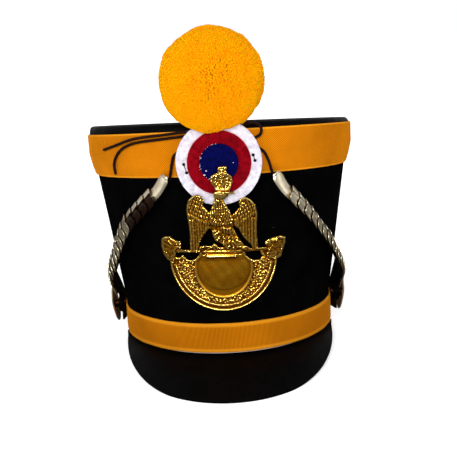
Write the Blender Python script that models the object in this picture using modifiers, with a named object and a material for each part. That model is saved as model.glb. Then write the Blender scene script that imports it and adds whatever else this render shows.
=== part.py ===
"""A French-pattern infantry shako: a flared black felt crown with a leather top and peak, two woven
bands, a brass eagle plate, a cockade, a wool pompom, and chin scales tied up in front with laces.

Every piece is modelled in the hat's own frame: +X to the viewer's right, the front at -Y, +Z up the
crown, and the origin at the middle of the crown's bottom edge. The hat frame then leans back, so
that the hat rests on the front of its peak and the back of its bottom edge.
"""

import math

import bmesh
import bpy
from mathutils import Matrix, Vector

MM = 0.001
GAP = 0.3 * MM  # between pieces that touch
SEGMENTS = 48

# The felt crown is oval at the head and round at the top.
HEAD_HALF_WIDTH = 95.2 * MM
HEAD_HALF_LENGTH = 106.5 * MM
TOP_RADIUS = 116.3 * MM
FLARE_START = 25 * MM
FLARE_END = 165 * MM
FELT_TOP = 181 * MM
FELT_THICKNESS = 3 * MM
TOP_DROP = 6 * MM  # the top sits this much lower at the back than at the front

# The leather top is folded down over the felt, under the upper band.
LEATHER_THICKNESS = 1.6 * MM
SKIRT_BOTTOM = 177.5 * MM
SKIRT_RADIUS = 118.4 * MM
HAT_HEIGHT = 187.6 * MM
DISH_RADIUS = 100 * MM
DISH_HEIGHT = 180 * MM

BAND_THICKNESS = 1.1 * MM
UPPER_BAND_BOTTOM = 146.2 * MM
UPPER_BAND_TOP = 182 * MM
UPPER_BAND_RADIUS = 120.2 * MM
LOWER_BAND_HEIGHT = 25 * MM

# The peak is a crescent of leather from temple to temple under the crown's bottom edge.
PEAK_THICKNESS = 2.5 * MM
PEAK_SPAN = 78.5  # degrees from the front to a temple
PEAK_REACH = 46.7 * MM
PEAK_DROP = 26.8 * MM
PEAK_TEMPLE_WIDTH = 3 * MM
PEAK_SEAM = FELT_THICKNESS  # how far the peak goes in under the crown's edge
PEAK_FLAT_SPAN = 20  # degrees each side of the front where the rim lies on the surface
PEAK_CAMBER = 2 * MM

LEAN = math.atan2(PEAK_DROP, 2 * HEAD_HALF_LENGTH + PEAK_REACH)
BALANCE = 8.6 * MM  # brings the middle of the leaning hat over the origin

# The cockade stands off the upper band, so that the laces pass behind it.
COCKADE_CENTRE = Vector((-0.9 * MM, -123.8 * MM, 160 * MM))
COCKADE_TILT = 4.0  # degrees, as the crown's front leans
COCKADE_RINGS = (
    # name, radius, back, front, colour
    ("cockade_white", 34.0 * MM, 0.0 * MM, 2.4 * MM, (0.80, 0.78, 0.80)),
    ("cockade_red", 25.2 * MM, 2.7 * MM, 4.0 * MM, (0.42, 0.008, 0.012)),
    ("cockade_blue", 15.3 * MM, 4.3 * MM, 5.7 * MM, (0.012, 0.02, 0.16)),
)

POMPOM_CENTRE = Vector((-3.4 * MM, -121 * MM, 223.4 * MM))
POMPOM_RADIUS = 42 * MM
POMPOM_LOCKS = 46
LOCK_RADIUS = 11 * MM
STEM_RADIUS = 1.2 * MM
STEM_BOTTOM = 150 * MM
STEM_TOP = 214 * MM

# The plate is cast flat, then bent round the crown: it lies on the felt at the bottom and leans
# out over the cockade at the top.
PLATE_CENTRE = Vector((-1.5 * MM, 0, 87 * MM))  # the middle of the bar that the eagle stands on
PLATE_TILT = 1.2  # degrees that its top leans to the viewer's right
PLATE_THICKNESS = 1.2 * MM
PLATE_BEND_RADIUS = 95 * MM
PLATE_STANDOFF = (
    # height, distance of the plate's back in front of the crown's axis
    (37 * MM, 109.5 * MM),
    (80 * MM, 114.2 * MM),
    (135 * MM, 127.8 * MM),
    (160 * MM, 132.8 * MM),
)
CRESCENT_RADIUS = 43.9 * MM
CRESCENT_CENTRE = -6 * MM
CRESCENT_RIM = 2.2 * MM
BEAD_RADIUS = 37.5 * MM

# The middle line of the chin scales' leather, on its outer face, from the tongue to the boss. The
# left one is tied up a little higher. The straps' lower edges are twisted away from the felt, the
# right one's so far that the scales are seen nearly from the edge.
CHIN_PATH = (
    # azimuth; height, standoff from the felt and twist on the right; then the same on the left
    (20.4, 147.0 * MM, 6.0 * MM, 12, 149.0 * MM, 6.0 * MM, 22),
    (25.0, 132.5 * MM, 5.6 * MM, 24, 136.8 * MM, 5.6 * MM, 22),
    (31.0, 121.8 * MM, 5.2 * MM, 34, 127.0 * MM, 5.6 * MM, 22),
    (38.0, 108.6 * MM, 5.0 * MM, 39, 116.0 * MM, 6.0 * MM, 22),
    (45.0, 95.1 * MM, 4.8 * MM, 40, 104.6 * MM, 6.4 * MM, 20),
    (52.0, 83.8 * MM, 4.6 * MM, 38, 89.8 * MM, 6.6 * MM, 18),
    (61.0, 69.3 * MM, 4.2 * MM, 34, 72.8 * MM, 6.6 * MM, 16),
    (71.0, 58.5 * MM, 3.8 * MM, 29, 60.0 * MM, 6.0 * MM, 14),
    (80.0, 49.0 * MM, 3.8 * MM, 24, 50.0 * MM, 5.2 * MM, 12),
    (87.0, 37.0 * MM, 4.0 * MM, 18, 37.5 * MM, 4.6 * MM, 9),
    (90.5, 23.0 * MM, 4.2 * MM, 12, 23.0 * MM, 4.2 * MM, 6),
    (90.5, 6.0 * MM, 4.2 * MM, 12, 6.0 * MM, 4.2 * MM, 6),
)
TWIST_ARM = 7 * MM  # from the strap's middle to the line that it twists about
STRAP_THICKNESS = 1.8 * MM
TONGUE_LENGTH = 25 * MM
TONGUE_WIDTH = 10.5 * MM
TONGUE_THICKNESS = 1.0 * MM
TONGUE_BARE = 9 * MM  # the tongue's tip reaches this far past the leather
SCALE_COUNT = 17
SCALE_THICKNESS = 0.7 * MM
SCALE_OVERLAP = 2.6 * MM
SCALE_RISE = 1.85 * MM  # how far each scale climbs, to lie over the next
SCALE_ARCH = 2.2 * MM
SCALE_LOBE = 1.3 * MM
SCALE_WIDTHS = (22 * MM, 15.5 * MM)  # at the boss and at the tongue
SCALE_START = 28 * MM  # the first scale's distance from the strap's lower end
STRAP_MARGIN = 2 * MM  # the leather is this much narrower than the scales at each edge

BOSS_RADIUS = 16.5 * MM
BOSS_HEIGHT = 22 * MM
BOSS_HUB_RADIUS = 4 * MM
BOSS_RIM = 9.4 * MM  # from the hub's foot to the back of the boss's rim
BOSS_DOME = 3.6 * MM
BOSS_TILT = 8.6  # degrees, as the crown's sides flare
PAD_RADIUS = 10 * MM  # the strap's end is folded into a thick pad under the boss
PAD_HEIGHT = 2.8 * MM
PAD_SUNK = 1.2 * MM
PAD_DISTANCE = 16 * MM  # its middle's distance from the strap's lower end

LACE_RADIUS = 1.2 * MM
LACES = {
    # each row is azimuth from the front, height, and standoff from the felt
    "lace_left": (
        (-20.9, 144.0 * MM, 2.9 * MM),
        (-19.9, 149.0 * MM, 4.1 * MM),
        (-18.5, 157.3 * MM, 5.6 * MM),
        (-17.0, 164.2 * MM, 5.6 * MM),
        (-12.5, 169.0 * MM, 5.6 * MM),
        (-8.0, 171.0 * MM, 5.6 * MM),
        (-3.6, 171.8 * MM, 5.6 * MM),
    ),
    "lace_right": (
        (21.6, 142.0 * MM, 2.9 * MM),
        (20.2, 147.6 * MM, 4.0 * MM),
        (18.4, 156.4 * MM, 5.6 * MM),
        (16.0, 164.5 * MM, 5.6 * MM),
        (11.0, 168.6 * MM, 5.6 * MM),
        (5.5, 170.8 * MM, 5.6 * MM),
        (0.3, 171.4 * MM, 5.6 * MM),
    ),
    "lace_loop": (
        (0.4, 178.6 * MM, 5.6 * MM),
        (4.3, 182.8 * MM, 5.8 * MM),
        (6.5, 183.7 * MM, 6.0 * MM),
        (12.5, 186.0 * MM, 6.1 * MM),
        (15.1, 183.9 * MM, 6.2 * MM),
        (15.9, 179.9 * MM, 6.2 * MM),
        (14.9, 176.0 * MM, 6.1 * MM),
        (11.9, 174.0 * MM, 6.0 * MM),
        (8.5, 175.8 * MM, 5.8 * MM),
        (5.5, 175.9 * MM, 5.7 * MM),
        (0.4, 174.9 * MM, 5.6 * MM),
    ),
    "lace_tail_a": (
        (-3.8, 179.4 * MM, 5.7 * MM),
        (-7.5, 181.0 * MM, 5.7 * MM),
        (-11.3, 181.6 * MM, 5.7 * MM),
        (-20.4, 180.2 * MM, 5.7 * MM),
        (-31.4, 178.6 * MM, 5.7 * MM),
        (-37.5, 176.6 * MM, 5.7 * MM),
        (-45.2, 172.7 * MM, 5.7 * MM),
        (-53.2, 169.5 * MM, 5.7 * MM),
    ),
    "lace_tail_b": (
        (-3.8, 175.6 * MM, 5.7 * MM),
        (-7.5, 177.4 * MM, 5.7 * MM),
        (-11.3, 178.4 * MM, 5.7 * MM),
        (-20.4, 177.0 * MM, 5.7 * MM),
        (-31.4, 175.2 * MM, 5.7 * MM),
        (-37.5, 172.8 * MM, 5.7 * MM),
        (-41.7, 169.0 * MM, 5.7 * MM),
        (-45.0, 163.4 * MM, 5.5 * MM),
        (-47.5, 156.9 * MM, 5.0 * MM),
        (-48.1, 148.7 * MM, 4.2 * MM),
    ),
}


def wall(height):
    """Half the width and half the length of the felt's outside at this height."""
    flare = min(1, max(0, (height - FLARE_START) / (FLARE_END - FLARE_START)))
    half_width = HEAD_HALF_WIDTH + flare * (TOP_RADIUS - HEAD_HALF_WIDTH)
    half_length = HEAD_HALF_LENGTH + flare * (TOP_RADIUS - HEAD_HALF_LENGTH)
    return half_width, half_length


def slanted(point):
    """The point, moved down behind and up in front as the top's slope asks."""
    slope = TOP_DROP / (2 * TOP_RADIUS * HAT_HEIGHT)
    return Vector((point.x, point.y, point.z * (1 - slope * point.y)))


def on_wall(azimuth, height, standoff):
    half_width, half_length = wall(height)
    turn = math.radians(azimuth)
    x = (half_width + standoff) * math.sin(turn)
    y = -(half_length + standoff) * math.cos(turn)
    return slanted(Vector((x, y, height)))


def outward(azimuth, height, standoff):
    here = on_wall(azimuth, height, standoff)
    along = on_wall(azimuth + 1, height, standoff) - here
    up = on_wall(azimuth, height + MM, standoff) - here
    return along.cross(up).normalized()


def between(table, value):
    """The second column of a table, read at a value of its first column."""
    for (low, at_low), (high, at_high) in zip(table, table[1:]):
        if value <= high:
            return at_low + (at_high - at_low) * (value - low) / (high - low)
    return table[-1][1]


def smooth(points, steps=12):
    """Points along a smooth curve through these points."""
    padded = [2 * points[0] - points[1], *points, 2 * points[-1] - points[-2]]
    curve = []
    for a, b, c, d in zip(padded, padded[1:], padded[2:], padded[3:]):
        for step in range(steps):
            t = step / steps
            bend = (2 * a - 5 * b + 4 * c - d) * t**2 + (3 * b - a - 3 * c + d) * t**3
            curve.append((2 * b + (c - a) * t + bend) / 2)
    return [*curve, points[-1]]


def spaced(rows, places, distances):
    """The rows at these distances along the line of places, which the rows stand for."""
    along = [0.0]
    for start, end in zip(places, places[1:]):
        along.append(along[-1] + (end - start).length)
    found = []
    for distance in distances:
        index = max(k for k in range(len(along) - 1) if k == 0 or along[k] <= distance)
        share = (distance - along[index]) / (along[index + 1] - along[index])
        found.append(rows[index].lerp(rows[index + 1], share))
    return found


def line_length(places):
    return sum((end - start).length for start, end in zip(places, places[1:]))


# Scene and materials

for old in list(bpy.data.objects):
    bpy.data.objects.remove(old)

pieces = bpy.data.collections.new("shako")
cutters = bpy.data.collections.new("cutters")
bpy.context.scene.collection.children.link(pieces)
bpy.context.scene.collection.children.link(cutters)

hat = bpy.data.objects.new("hat_frame", None)
hat.rotation_euler.x = -LEAN
hat.location = (0, BALANCE, HEAD_HALF_LENGTH * math.sin(LEAN))
pieces.objects.link(hat)


def finish(name, color, roughness, metallic):
    made = bpy.data.materials.new(name)
    made.use_nodes = True
    shader = made.node_tree.nodes["Principled BSDF"]
    shader.inputs["Base Color"].default_value = (*color, 1)
    shader.inputs["Roughness"].default_value = roughness
    shader.inputs["Metallic"].default_value = metallic
    return made


FELT = finish("black_felt", (0.006, 0.006, 0.007), 0.95, 0)
LEATHER = finish("black_leather", (0.010, 0.010, 0.012), 0.35, 0)
BAND = finish("orange_braid", (0.80, 0.30, 0.01), 0.80, 0)
BRASS = finish("stamped_brass", (0.80, 0.52, 0.13), 0.25, 1)
PALE_BRASS = finish("pale_brass", (0.78, 0.70, 0.50), 0.30, 1)
WOOL = finish("yellow_wool", (0.95, 0.42, 0.01), 0.90, 0)
LACE = finish("brown_lace", (0.02, 0.010, 0.008), 0.60, 0)


def add_piece(name, bm, material, place=None, to=pieces):
    """A new object from this mesh data, placed in the hat frame."""
    mesh = bpy.data.meshes.new(name)
    bm.to_mesh(mesh)
    bm.free()
    mesh.materials.append(material)
    mesh.shade_smooth()
    mesh.set_sharp_from_angle(angle=math.radians(35))
    obj = bpy.data.objects.new(name, mesh)
    to.objects.link(obj)
    obj.parent = hat
    obj.matrix_local = place or Matrix.Identity(4)
    if to is cutters:
        obj.hide_render = True
        obj.display_type = "WIRE"
    return obj


def thicken(obj, thickness, side):
    """Gives a sheet its thickness: side 1 adds it on the faces' front, and -1 behind them."""
    solidify = obj.modifiers.new("thickness", "SOLIDIFY")
    solidify.thickness = thickness
    solidify.offset = side
    solidify.use_even_offset = True
    return obj


def cut(obj, cutter, operation="DIFFERENCE"):
    boolean = obj.modifiers.new(cutter.name, "BOOLEAN")
    boolean.operation = operation
    boolean.object = cutter


def baked(obj):
    """The object's mesh with its modifiers applied; the object itself is removed."""
    bpy.context.view_layer.update()
    graph = bpy.context.evaluated_depsgraph_get()
    mesh = bpy.data.meshes.new_from_object(obj.evaluated_get(graph))
    bm = bmesh.new()
    bm.from_mesh(mesh)
    bpy.data.meshes.remove(mesh)
    bpy.data.objects.remove(obj)
    return bm


def face_out(bm):
    """Turns an open tube's faces away from its axis."""
    bmesh.ops.recalc_face_normals(bm, faces=bm.faces)
    if sum(face.normal.dot(face.calc_center_median() * Vector((1, 1, 0))) for face in bm.faces) < 0:
        bmesh.ops.reverse_faces(bm, faces=bm.faces)


def oval_tube(rows, closed_top=False, closed_bottom=False):
    """Skins rings round the crown's axis. A row is height, half the width and half the length."""
    bm = bmesh.new()
    rings = []
    for height, half_width, half_length in rows:
        circle = bmesh.ops.create_circle(bm, segments=SEGMENTS, radius=1)["verts"]
        for vert in circle:
            vert.co = slanted(Vector((vert.co.x * half_width, vert.co.y * half_length, height)))
        rings.append({edge for vert in circle for edge in vert.link_edges})
    for lower, upper in zip(rings, rings[1:]):
        bmesh.ops.bridge_loops(bm, edges=list(lower | upper))
    for closed, ring in ((closed_top, rings[-1]), (closed_bottom, rings[0])):
        if closed:
            bmesh.ops.edgeloop_fill(bm, edges=list(ring))
    face_out(bm)
    return bm


def round_rows(profile):
    return [(height, radius, radius) for radius, height in profile]


def wall_rows(offsets):
    """Rows that follow the felt. An offset is a height and a distance out from the felt."""
    rows = []
    for height, offset in offsets:
        half_width, half_length = wall(height)
        rows.append((height, half_width + offset, half_length + offset))
    return rows


# Crown, its leather top, and the two bands

felt_rows = wall_rows((height, 0) for height in (0, FLARE_START, FLARE_END, FELT_TOP))
thicken(add_piece("crown", oval_tube(felt_rows), FELT), FELT_THICKNESS, -1)

RIM_PROFILE = (
    # radius, height: up the skirt, over the rim and down into the dish
    (SKIRT_RADIUS, SKIRT_BOTTOM),
    (SKIRT_RADIUS, HAT_HEIGHT - 5.0 * MM),
    (SKIRT_RADIUS - 1.0 * MM, HAT_HEIGHT - 1.8 * MM),
    (SKIRT_RADIUS - 3.4 * MM, HAT_HEIGHT),
    (SKIRT_RADIUS - 7.0 * MM, HAT_HEIGHT - 0.9 * MM),
    (DISH_RADIUS, DISH_HEIGHT),
)
top_mesh = oval_tube(round_rows(RIM_PROFILE), closed_top=True)
thicken(add_piece("crown_top", top_mesh, LEATHER), LEATHER_THICKNESS, -1)

UPPER_BAND_BULGE = UPPER_BAND_RADIUS - TOP_RADIUS
upper_rows = wall_rows(
    (
        (UPPER_BAND_BOTTOM, 1.5 * MM),
        (UPPER_BAND_BOTTOM + 7 * MM, 2.8 * MM),
        (UPPER_BAND_BOTTOM + 18 * MM, UPPER_BAND_BULGE - 0.2 * MM),
        (UPPER_BAND_TOP, UPPER_BAND_BULGE),
    )
)
thicken(add_piece("upper_band", oval_tube(upper_rows), BAND), BAND_THICKNESS, -1)

lower_offset = GAP + BAND_THICKNESS
lower_rows = wall_rows((height, lower_offset) for height in (GAP, LOWER_BAND_HEIGHT))
thicken(add_piece("lower_band", oval_tube(lower_rows), BAND), BAND_THICKNESS, -1)


# Peak


def peak_point(across, out):
    """A point on the peak's underside: across runs -1 to 1 between the temples, out 0 to 1."""
    azimuth = math.radians(across * PEAK_SPAN)
    half_width, half_length = HEAD_HALF_WIDTH - PEAK_SEAM, HEAD_HALF_LENGTH - PEAK_SEAM
    inner = 1 / math.hypot(math.sin(azimuth) / half_width, math.cos(azimuth) / half_length)
    swell = math.cos(across * math.pi / 2)
    width = PEAK_TEMPLE_WIDTH + (PEAK_REACH - PEAK_TEMPLE_WIDTH) * swell**2 + PEAK_SEAM - MM
    radius = inner + out * width
    y = -radius * math.cos(azimuth)
    rim_y = -(inner + width) * math.cos(azimuth)
    off_flat = max(0, abs(across) * PEAK_SPAN - PEAK_FLAT_SPAN) / (PEAK_SPAN - PEAK_FLAT_SPAN)
    start = -GAP - 1.12 * PEAK_THICKNESS
    rim = (rim_y - HEAD_HALF_LENGTH) * math.tan(LEAN) * (1 - off_flat**1.4)
    rim = min(rim, start)
    camber = PEAK_CAMBER * swell * math.sin(out * math.pi) ** 2
    return Vector((radius * math.sin(azimuth), y, start + (rim - start) * out + camber))


peak_mesh = bmesh.new()
bmesh.ops.create_grid(peak_mesh, x_segments=24, y_segments=4, size=1)
for vert in peak_mesh.verts:
    vert.co = peak_point(vert.co.x, (1 - vert.co.y) / 2)
thicken(add_piece("peak", peak_mesh, LEATHER), PEAK_THICKNESS, 1)


# Turned pieces


def turned(name, profile, material, place, steps=24):
    """A profile of radius and height, turned round its own Z axis. It runs down its outer side."""
    bm = bmesh.new()
    verts = [bm.verts.new((radius, 0, height)) for radius, height in profile]
    for start, end in zip(verts, verts[1:]):
        bm.edges.new((start, end))
    obj = add_piece(name, bm, material, place)
    screw = obj.modifiers.new("turn", "SCREW")
    screw.axis = "Z"
    screw.steps = steps
    screw.render_steps = steps
    screw.use_merge_vertices = True
    screw.merge_threshold = 0.00001
    screw.use_smooth_shade = True
    return obj


cockade_place = Matrix.Translation(COCKADE_CENTRE) @ Matrix.Rotation(
    math.radians(90 + COCKADE_TILT), 4, "X"
)
for name, radius, back, front, color in COCKADE_RINGS:
    edge = 0.6 * MM
    disc = (
        (0, front),
        (radius - edge, front),
        (radius, (front + back) / 2),
        (radius - edge, back),
        (0, back),
    )
    cloth = finish(name, color, 0.85, 0)
    turned(name, disc, cloth, cockade_place, steps=28)

def boss_place(sign):
    """The matrix of a boss: its foot just off the lower band, and Z out of the hat."""
    foot = HEAD_HALF_WIDTH + lower_offset + GAP
    foot += BOSS_HUB_RADIUS * math.sin(math.radians(BOSS_TILT))
    return Matrix.Translation((sign * foot, 0, BOSS_HEIGHT)) @ Matrix.Rotation(
        math.radians(sign * (90 + BOSS_TILT)), 4, "Y"
    )


boss_profile = (
    (0, BOSS_RIM + BOSS_DOME),
    (BOSS_RADIUS * 0.5, BOSS_RIM + BOSS_DOME * 0.86),
    (BOSS_RADIUS * 0.8, BOSS_RIM + BOSS_DOME * 0.5),
    (BOSS_RADIUS, BOSS_RIM + 0.3 * MM),
    (BOSS_RADIUS * 0.96, BOSS_RIM),
    (BOSS_RADIUS * 0.7, BOSS_RIM + BOSS_DOME * 0.4),
    (BOSS_HUB_RADIUS, BOSS_RIM + BOSS_DOME * 0.6),
    (BOSS_HUB_RADIUS, 0),
    (0, 0),
)
for side, sign in (("left", -1), ("right", 1)):
    turned(f"boss_{side}", boss_profile, PALE_BRASS, boss_place(sign))


# Chin scales: leather, tongue and overlapping scales on each side


def chin_line(side):
    """The strap's middle line from its end at the boss to the tongue's tip, as rows and places."""
    rows = []
    for azimuth, *both_sides in reversed(CHIN_PATH):
        height, standoff, twist = both_sides[:3] if side > 0 else both_sides[3:]
        turn = math.radians(twist)
        lift = TWIST_ARM * math.sin(turn)
        rows.append(Vector((side * azimuth, height, standoff + lift, -side * turn)))
    rows = smooth(rows)
    return rows, [on_wall(*row[:3]) for row in rows]


def chin_place(row, next_row):
    """The matrix at this row: X across the strap, Y towards the tongue and Z out of the hat."""
    origin = on_wall(*row[:3])
    along = (on_wall(*next_row[:3]) - origin).normalized()
    out = outward(*row[:3])
    out = (out - along * out.dot(along)).normalized()
    across = along.cross(out)
    turn = Matrix((across, along, out)).transposed().to_4x4()
    return Matrix.Translation(origin) @ turn @ Matrix.Rotation(-row[3], 4, "Y")


def chin_places(side, distances):
    rows, places = chin_line(side)
    here = spaced(rows, places, distances)
    ahead = spaced(rows, places, [distance + MM for distance in distances])
    return [chin_place(row, next_row) for row, next_row in zip(here, ahead)]


def scale_mesh(width, length):
    """One scale: its rear edge at Y 0, and its two round lobes at the end towards the tongue."""
    bm = bmesh.new()
    bmesh.ops.create_grid(bm, x_segments=8, y_segments=1, size=1)
    for vert in bm.verts:
        across = vert.co.x
        along = (vert.co.y + 1) / 2
        lobe = SCALE_LOBE * abs(math.sin(across * math.pi)) * along
        arch = SCALE_ARCH * (1 - across**2)
        height = GAP + arch + SCALE_RISE * along
        vert.co = (across * width / 2, along * length + lobe, height)
    return bm


for side, sign in (("left", -1), ("right", 1)):
    length = line_length(chin_line(sign)[1])
    scales_end = length - TONGUE_LENGTH
    pitch = (scales_end - SCALE_START) / SCALE_COUNT

    strap_mesh = bmesh.new()
    stations = 22
    bmesh.ops.create_grid(strap_mesh, x_segments=1, y_segments=stations, size=1)
    strap_end = length - TONGUE_BARE
    strap_places = chin_places(sign, [strap_end * k / stations for k in range(stations + 1)])
    for vert in strap_mesh.verts:
        along = (vert.co.y + 1) / 2
        place = strap_places[round(along * stations)]
        narrowing = min(1, along * strap_end / scales_end)
        width = SCALE_WIDTHS[0] + (SCALE_WIDTHS[1] - SCALE_WIDTHS[0]) * narrowing
        vert.co = place @ Vector((vert.co.x * (width / 2 - STRAP_MARGIN), 0, 0))
    strap = thicken(add_piece(f"chin_strap_{side}", strap_mesh, LEATHER), STRAP_THICKNESS, -1)

    for name, radius, back, front, place, operation in (
        ("pad", PAD_RADIUS, -PAD_SUNK, PAD_HEIGHT, chin_places(sign, [PAD_DISTANCE])[0], "UNION"),
        ("hub", BOSS_HUB_RADIUS + GAP, -BOSS_RIM, BOSS_RIM * 2, boss_place(sign), "DIFFERENCE"),
    ):
        drum_mesh = bmesh.new()
        bmesh.ops.create_cone(
            drum_mesh,
            cap_ends=True,
            segments=24,
            radius1=radius,
            radius2=radius,
            depth=front - back,
            matrix=Matrix.Translation((0, 0, (back + front) / 2)),
        )
        drum = add_piece(f"{name}_cutter_{side}", drum_mesh, LEATHER, place, to=cutters)
        cut(strap, drum, operation)

    starts = [SCALE_START + pitch * k for k in range(SCALE_COUNT)]
    for number, place in enumerate(chin_places(sign, starts), 1):
        share = (number - 1) / (SCALE_COUNT - 1)
        width = SCALE_WIDTHS[0] + (SCALE_WIDTHS[1] - SCALE_WIDTHS[0]) * share
        mesh = scale_mesh(width, pitch + SCALE_OVERLAP)
        scale = add_piece(f"scale_{side}_{number:02d}", mesh, PALE_BRASS, place)
        thicken(scale, SCALE_THICKNESS, 1)

    tongue_mesh = bmesh.new()
    rows_along = 7
    bmesh.ops.create_grid(tongue_mesh, x_segments=4, y_segments=rows_along, size=1)
    distances = [scales_end + TONGUE_LENGTH * k / rows_along - MM for k in range(rows_along + 1)]
    tongue_places = chin_places(sign, distances)
    for vert in tongue_mesh.verts:
        step = round((vert.co.y + 1) / 2 * rows_along)
        round_off = min(1, (rows_along - step + 0.3) / 1.8)
        across = vert.co.x * TONGUE_WIDTH / 2 * math.sqrt(1 - (1 - round_off) ** 2)
        arch = 0.8 * MM * (1 - vert.co.x**2)
        vert.co = tongue_places[step] @ Vector((across, 0, GAP + arch))
    thicken(add_piece(f"tongue_{side}", tongue_mesh, PALE_BRASS), TONGUE_THICKNESS, 1)


# Laces


def lace(name, route):
    places = smooth([on_wall(*row) for row in route])
    length = line_length(places)
    count = math.ceil(length / (6 * LACE_RADIUS))
    points = spaced(places, places, [length * k / count for k in range(count + 1)])
    curve = bpy.data.curves.new(name, "CURVE")
    curve.dimensions = "3D"
    curve.bevel_depth = LACE_RADIUS
    curve.bevel_resolution = 2
    curve.use_fill_caps = True
    spline = curve.splines.new("POLY")
    spline.points.add(len(points) - 1)
    for place, point in zip(spline.points, points):
        place.co = (*point, 1)
    curve.materials.append(LACE)
    obj = bpy.data.objects.new(name, curve)
    pieces.objects.link(obj)
    obj.parent = hat


for name, route in LACES.items():
    lace(name, route)


# Eagle plate: flat shapes fused together, then bent round the crown


def plate_shape(outlines, thickness, back=0.0):
    """A flat solid from closed outlines in plate millimetres; inner outlines are holes."""
    curve = bpy.data.curves.new("shape", "CURVE")
    curve.dimensions = "2D"
    curve.fill_mode = "BOTH"
    curve.extrude = thickness / 2
    for outline in outlines:
        spline = curve.splines.new("POLY")
        spline.use_cyclic_u = True
        spline.points.add(len(outline) - 1)
        for place, (x, z) in zip(spline.points, outline):
            place.co = (x, z, 0, 1)
    helper = bpy.data.objects.new("shape", curve)
    cutters.objects.link(helper)
    bm = baked(helper)
    bmesh.ops.remove_doubles(bm, verts=bm.verts, dist=MM / 1000)
    bmesh.ops.translate(bm, verts=bm.verts, vec=(0, 0, thickness / 2 + back))
    return bm


def arc(radius, start, end, count, centre=(0, CRESCENT_CENTRE)):
    """Points round a centre, with the angles in degrees from the viewer's right."""
    turns = [math.radians(start + (end - start) * k / (count - 1)) for k in range(count)]
    return [(centre[0] + radius * math.cos(t), centre[1] + radius * math.sin(t)) for t in turns]


def scaled(points):
    return [(x * MM, z * MM) for x, z in points]


CRESCENT_HORN = -3  # degrees above the centre's level where the crescent's horns end
WING_LEFT = scaled(
    (
        (-26.8, 0.5), (-26.4, 16.0), (-27.0, 26.0), (-28.2, 34.0), (-28.0, 39.0), (-26.4, 43.6),
        (-22.8, 47.4), (-18.8, 48.6), (-15.2, 47.0), (-13.6, 43.2), (-14.6, 39.6), (-11.4, 35.8),
        (-6.0, 30.0), (-6.0, 19.0), (-11.0, 19.8), (-15.4, 14.2), (-18.8, 7.6), (-19.6, 0.5),
    )
)
WING_RIGHT = scaled(
    (
        (28.6, 0.6), (27.6, 14.0), (27.8, 25.0), (28.4, 31.5), (26.8, 38.6), (23.0, 43.2),
        (18.8, 45.4), (14.8, 44.2), (13.2, 40.2), (14.4, 37.4), (11.2, 34.4), (8.6, 31.6),
        (5.0, 31.0), (5.0, 20.0), (9.4, 21.8), (12.4, 19.8), (16.6, 11.8), (22.6, 5.2),
        (24.0, 0.6),
    )
)
BODY = scaled(
    (
        (-8.4, 22.0), (-10.2, 27.0), (-10.0, 33.6), (-7.4, 39.8), (-5.0, 45.6), (0.6, 45.8),
        (3.0, 40.4), (6.6, 34.2), (8.8, 28.0), (8.4, 21.4), (12.0, 13.6), (16.6, 6.6),
        (18.2, 1.0), (4.2, 1.0), (-1.6, 7.4), (-6.2, 10.0), (-8.4, 15.0),
    )
)
HEAD = scaled(
    (
        (-5.4, 44.6), (-6.6, 47.6), (-5.8, 50.6), (-2.0, 51.4), (2.6, 50.8), (6.4, 51.0),
        (10.0, 50.2), (11.0, 48.4), (9.4, 48.0), (7.2, 48.6), (4.6, 46.0), (2.4, 44.2),
    )
)
EAGLE_CROWN = scaled(
    (
        (-4.6, 51.2), (-5.4, 54.6), (-8.4, 59.0), (-7.8, 63.0), (-5.0, 65.2), (-2.2, 65.6),
        (-2.6, 69.4), (-0.4, 70.6), (4.2, 70.8), (5.4, 69.2), (4.4, 67.4), (5.4, 65.2),
        (8.6, 62.8), (9.2, 58.8), (7.8, 54.0), (6.2, 51.0),
    )
)
FOOT = scaled(
    ((-19.4, 1.4), (-19.2, 5.2), (-14.6, 6.6), (-9.2, 6.2), (-6.6, 8.8), (-5.6, 7.2), (-3.2, 5.0),
     (1.8, 4.6), (4.4, 1.4))
)
CLAW = scaled(((15.0, 1.2), (15.6, 4.4), (18.4, 5.4), (22.6, 2.0), (22.4, 1.2)))
BEAST_LEFT = scaled(
    (
        (-42.6, -9.4), (-46.2, -7.0), (-49.4, -2.0), (-50.6, 4.2), (-50.4, 10.0), (-47.0, 13.4),
        (-42.6, 13.6), (-38.4, 10.6), (-33.6, 9.8), (-33.2, 6.4), (-34.6, 2.8), (-37.6, 2.0),
        (-38.6, -2.0), (-39.0, -7.0),
    )
)
BEAST_RIGHT = scaled(
    (
        (42.8, -9.6), (47.6, -7.2), (49.2, -1.0), (51.4, 5.0), (51.6, 9.4), (46.8, 11.2),
        (40.2, 10.2), (34.0, 7.6), (33.4, 4.8), (35.4, 2.6), (35.6, -1.4), (37.0, -4.6),
        (36.8, -7.4),
    )
)
BAR = scaled(((-40.0, -0.4), (-40.0, 2.4), (36.0, 2.4), (36.0, -0.4)))
LEDGE = scaled(((-13.0, -4.2), (-13.0, -1.8), (9.6, -1.8), (9.6, -4.2)))
MOON_LEFT = scaled(
    ((-38.6, -0.4), (-39.0, -4.2), (-34.8, -3.4), (-31.0, -5.2), (-26.0, -6.0), (-21.6, -4.0),
     (-19.4, -0.4))
)
MOON_RIGHT = scaled(
    ((17.6, -0.4), (18.6, -4.0), (21.6, -6.8), (26.0, -8.0), (30.6, -7.6), (32.0, -4.6),
     (29.6, -0.4))
)
horn = math.radians(CRESCENT_HORN)
crescent = arc(CRESCENT_RADIUS, 180 - CRESCENT_HORN, 360 + CRESCENT_HORN, 29)
crescent += scaled(((37.0, -6.0), (36.0, 0.6), (-39.6, 0.6), (-39.6, -6.0)))
rim = arc(CRESCENT_RADIUS, 178, 362, 25) + arc(CRESCENT_RADIUS - CRESCENT_RIM, 362, 178, 25)
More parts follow.
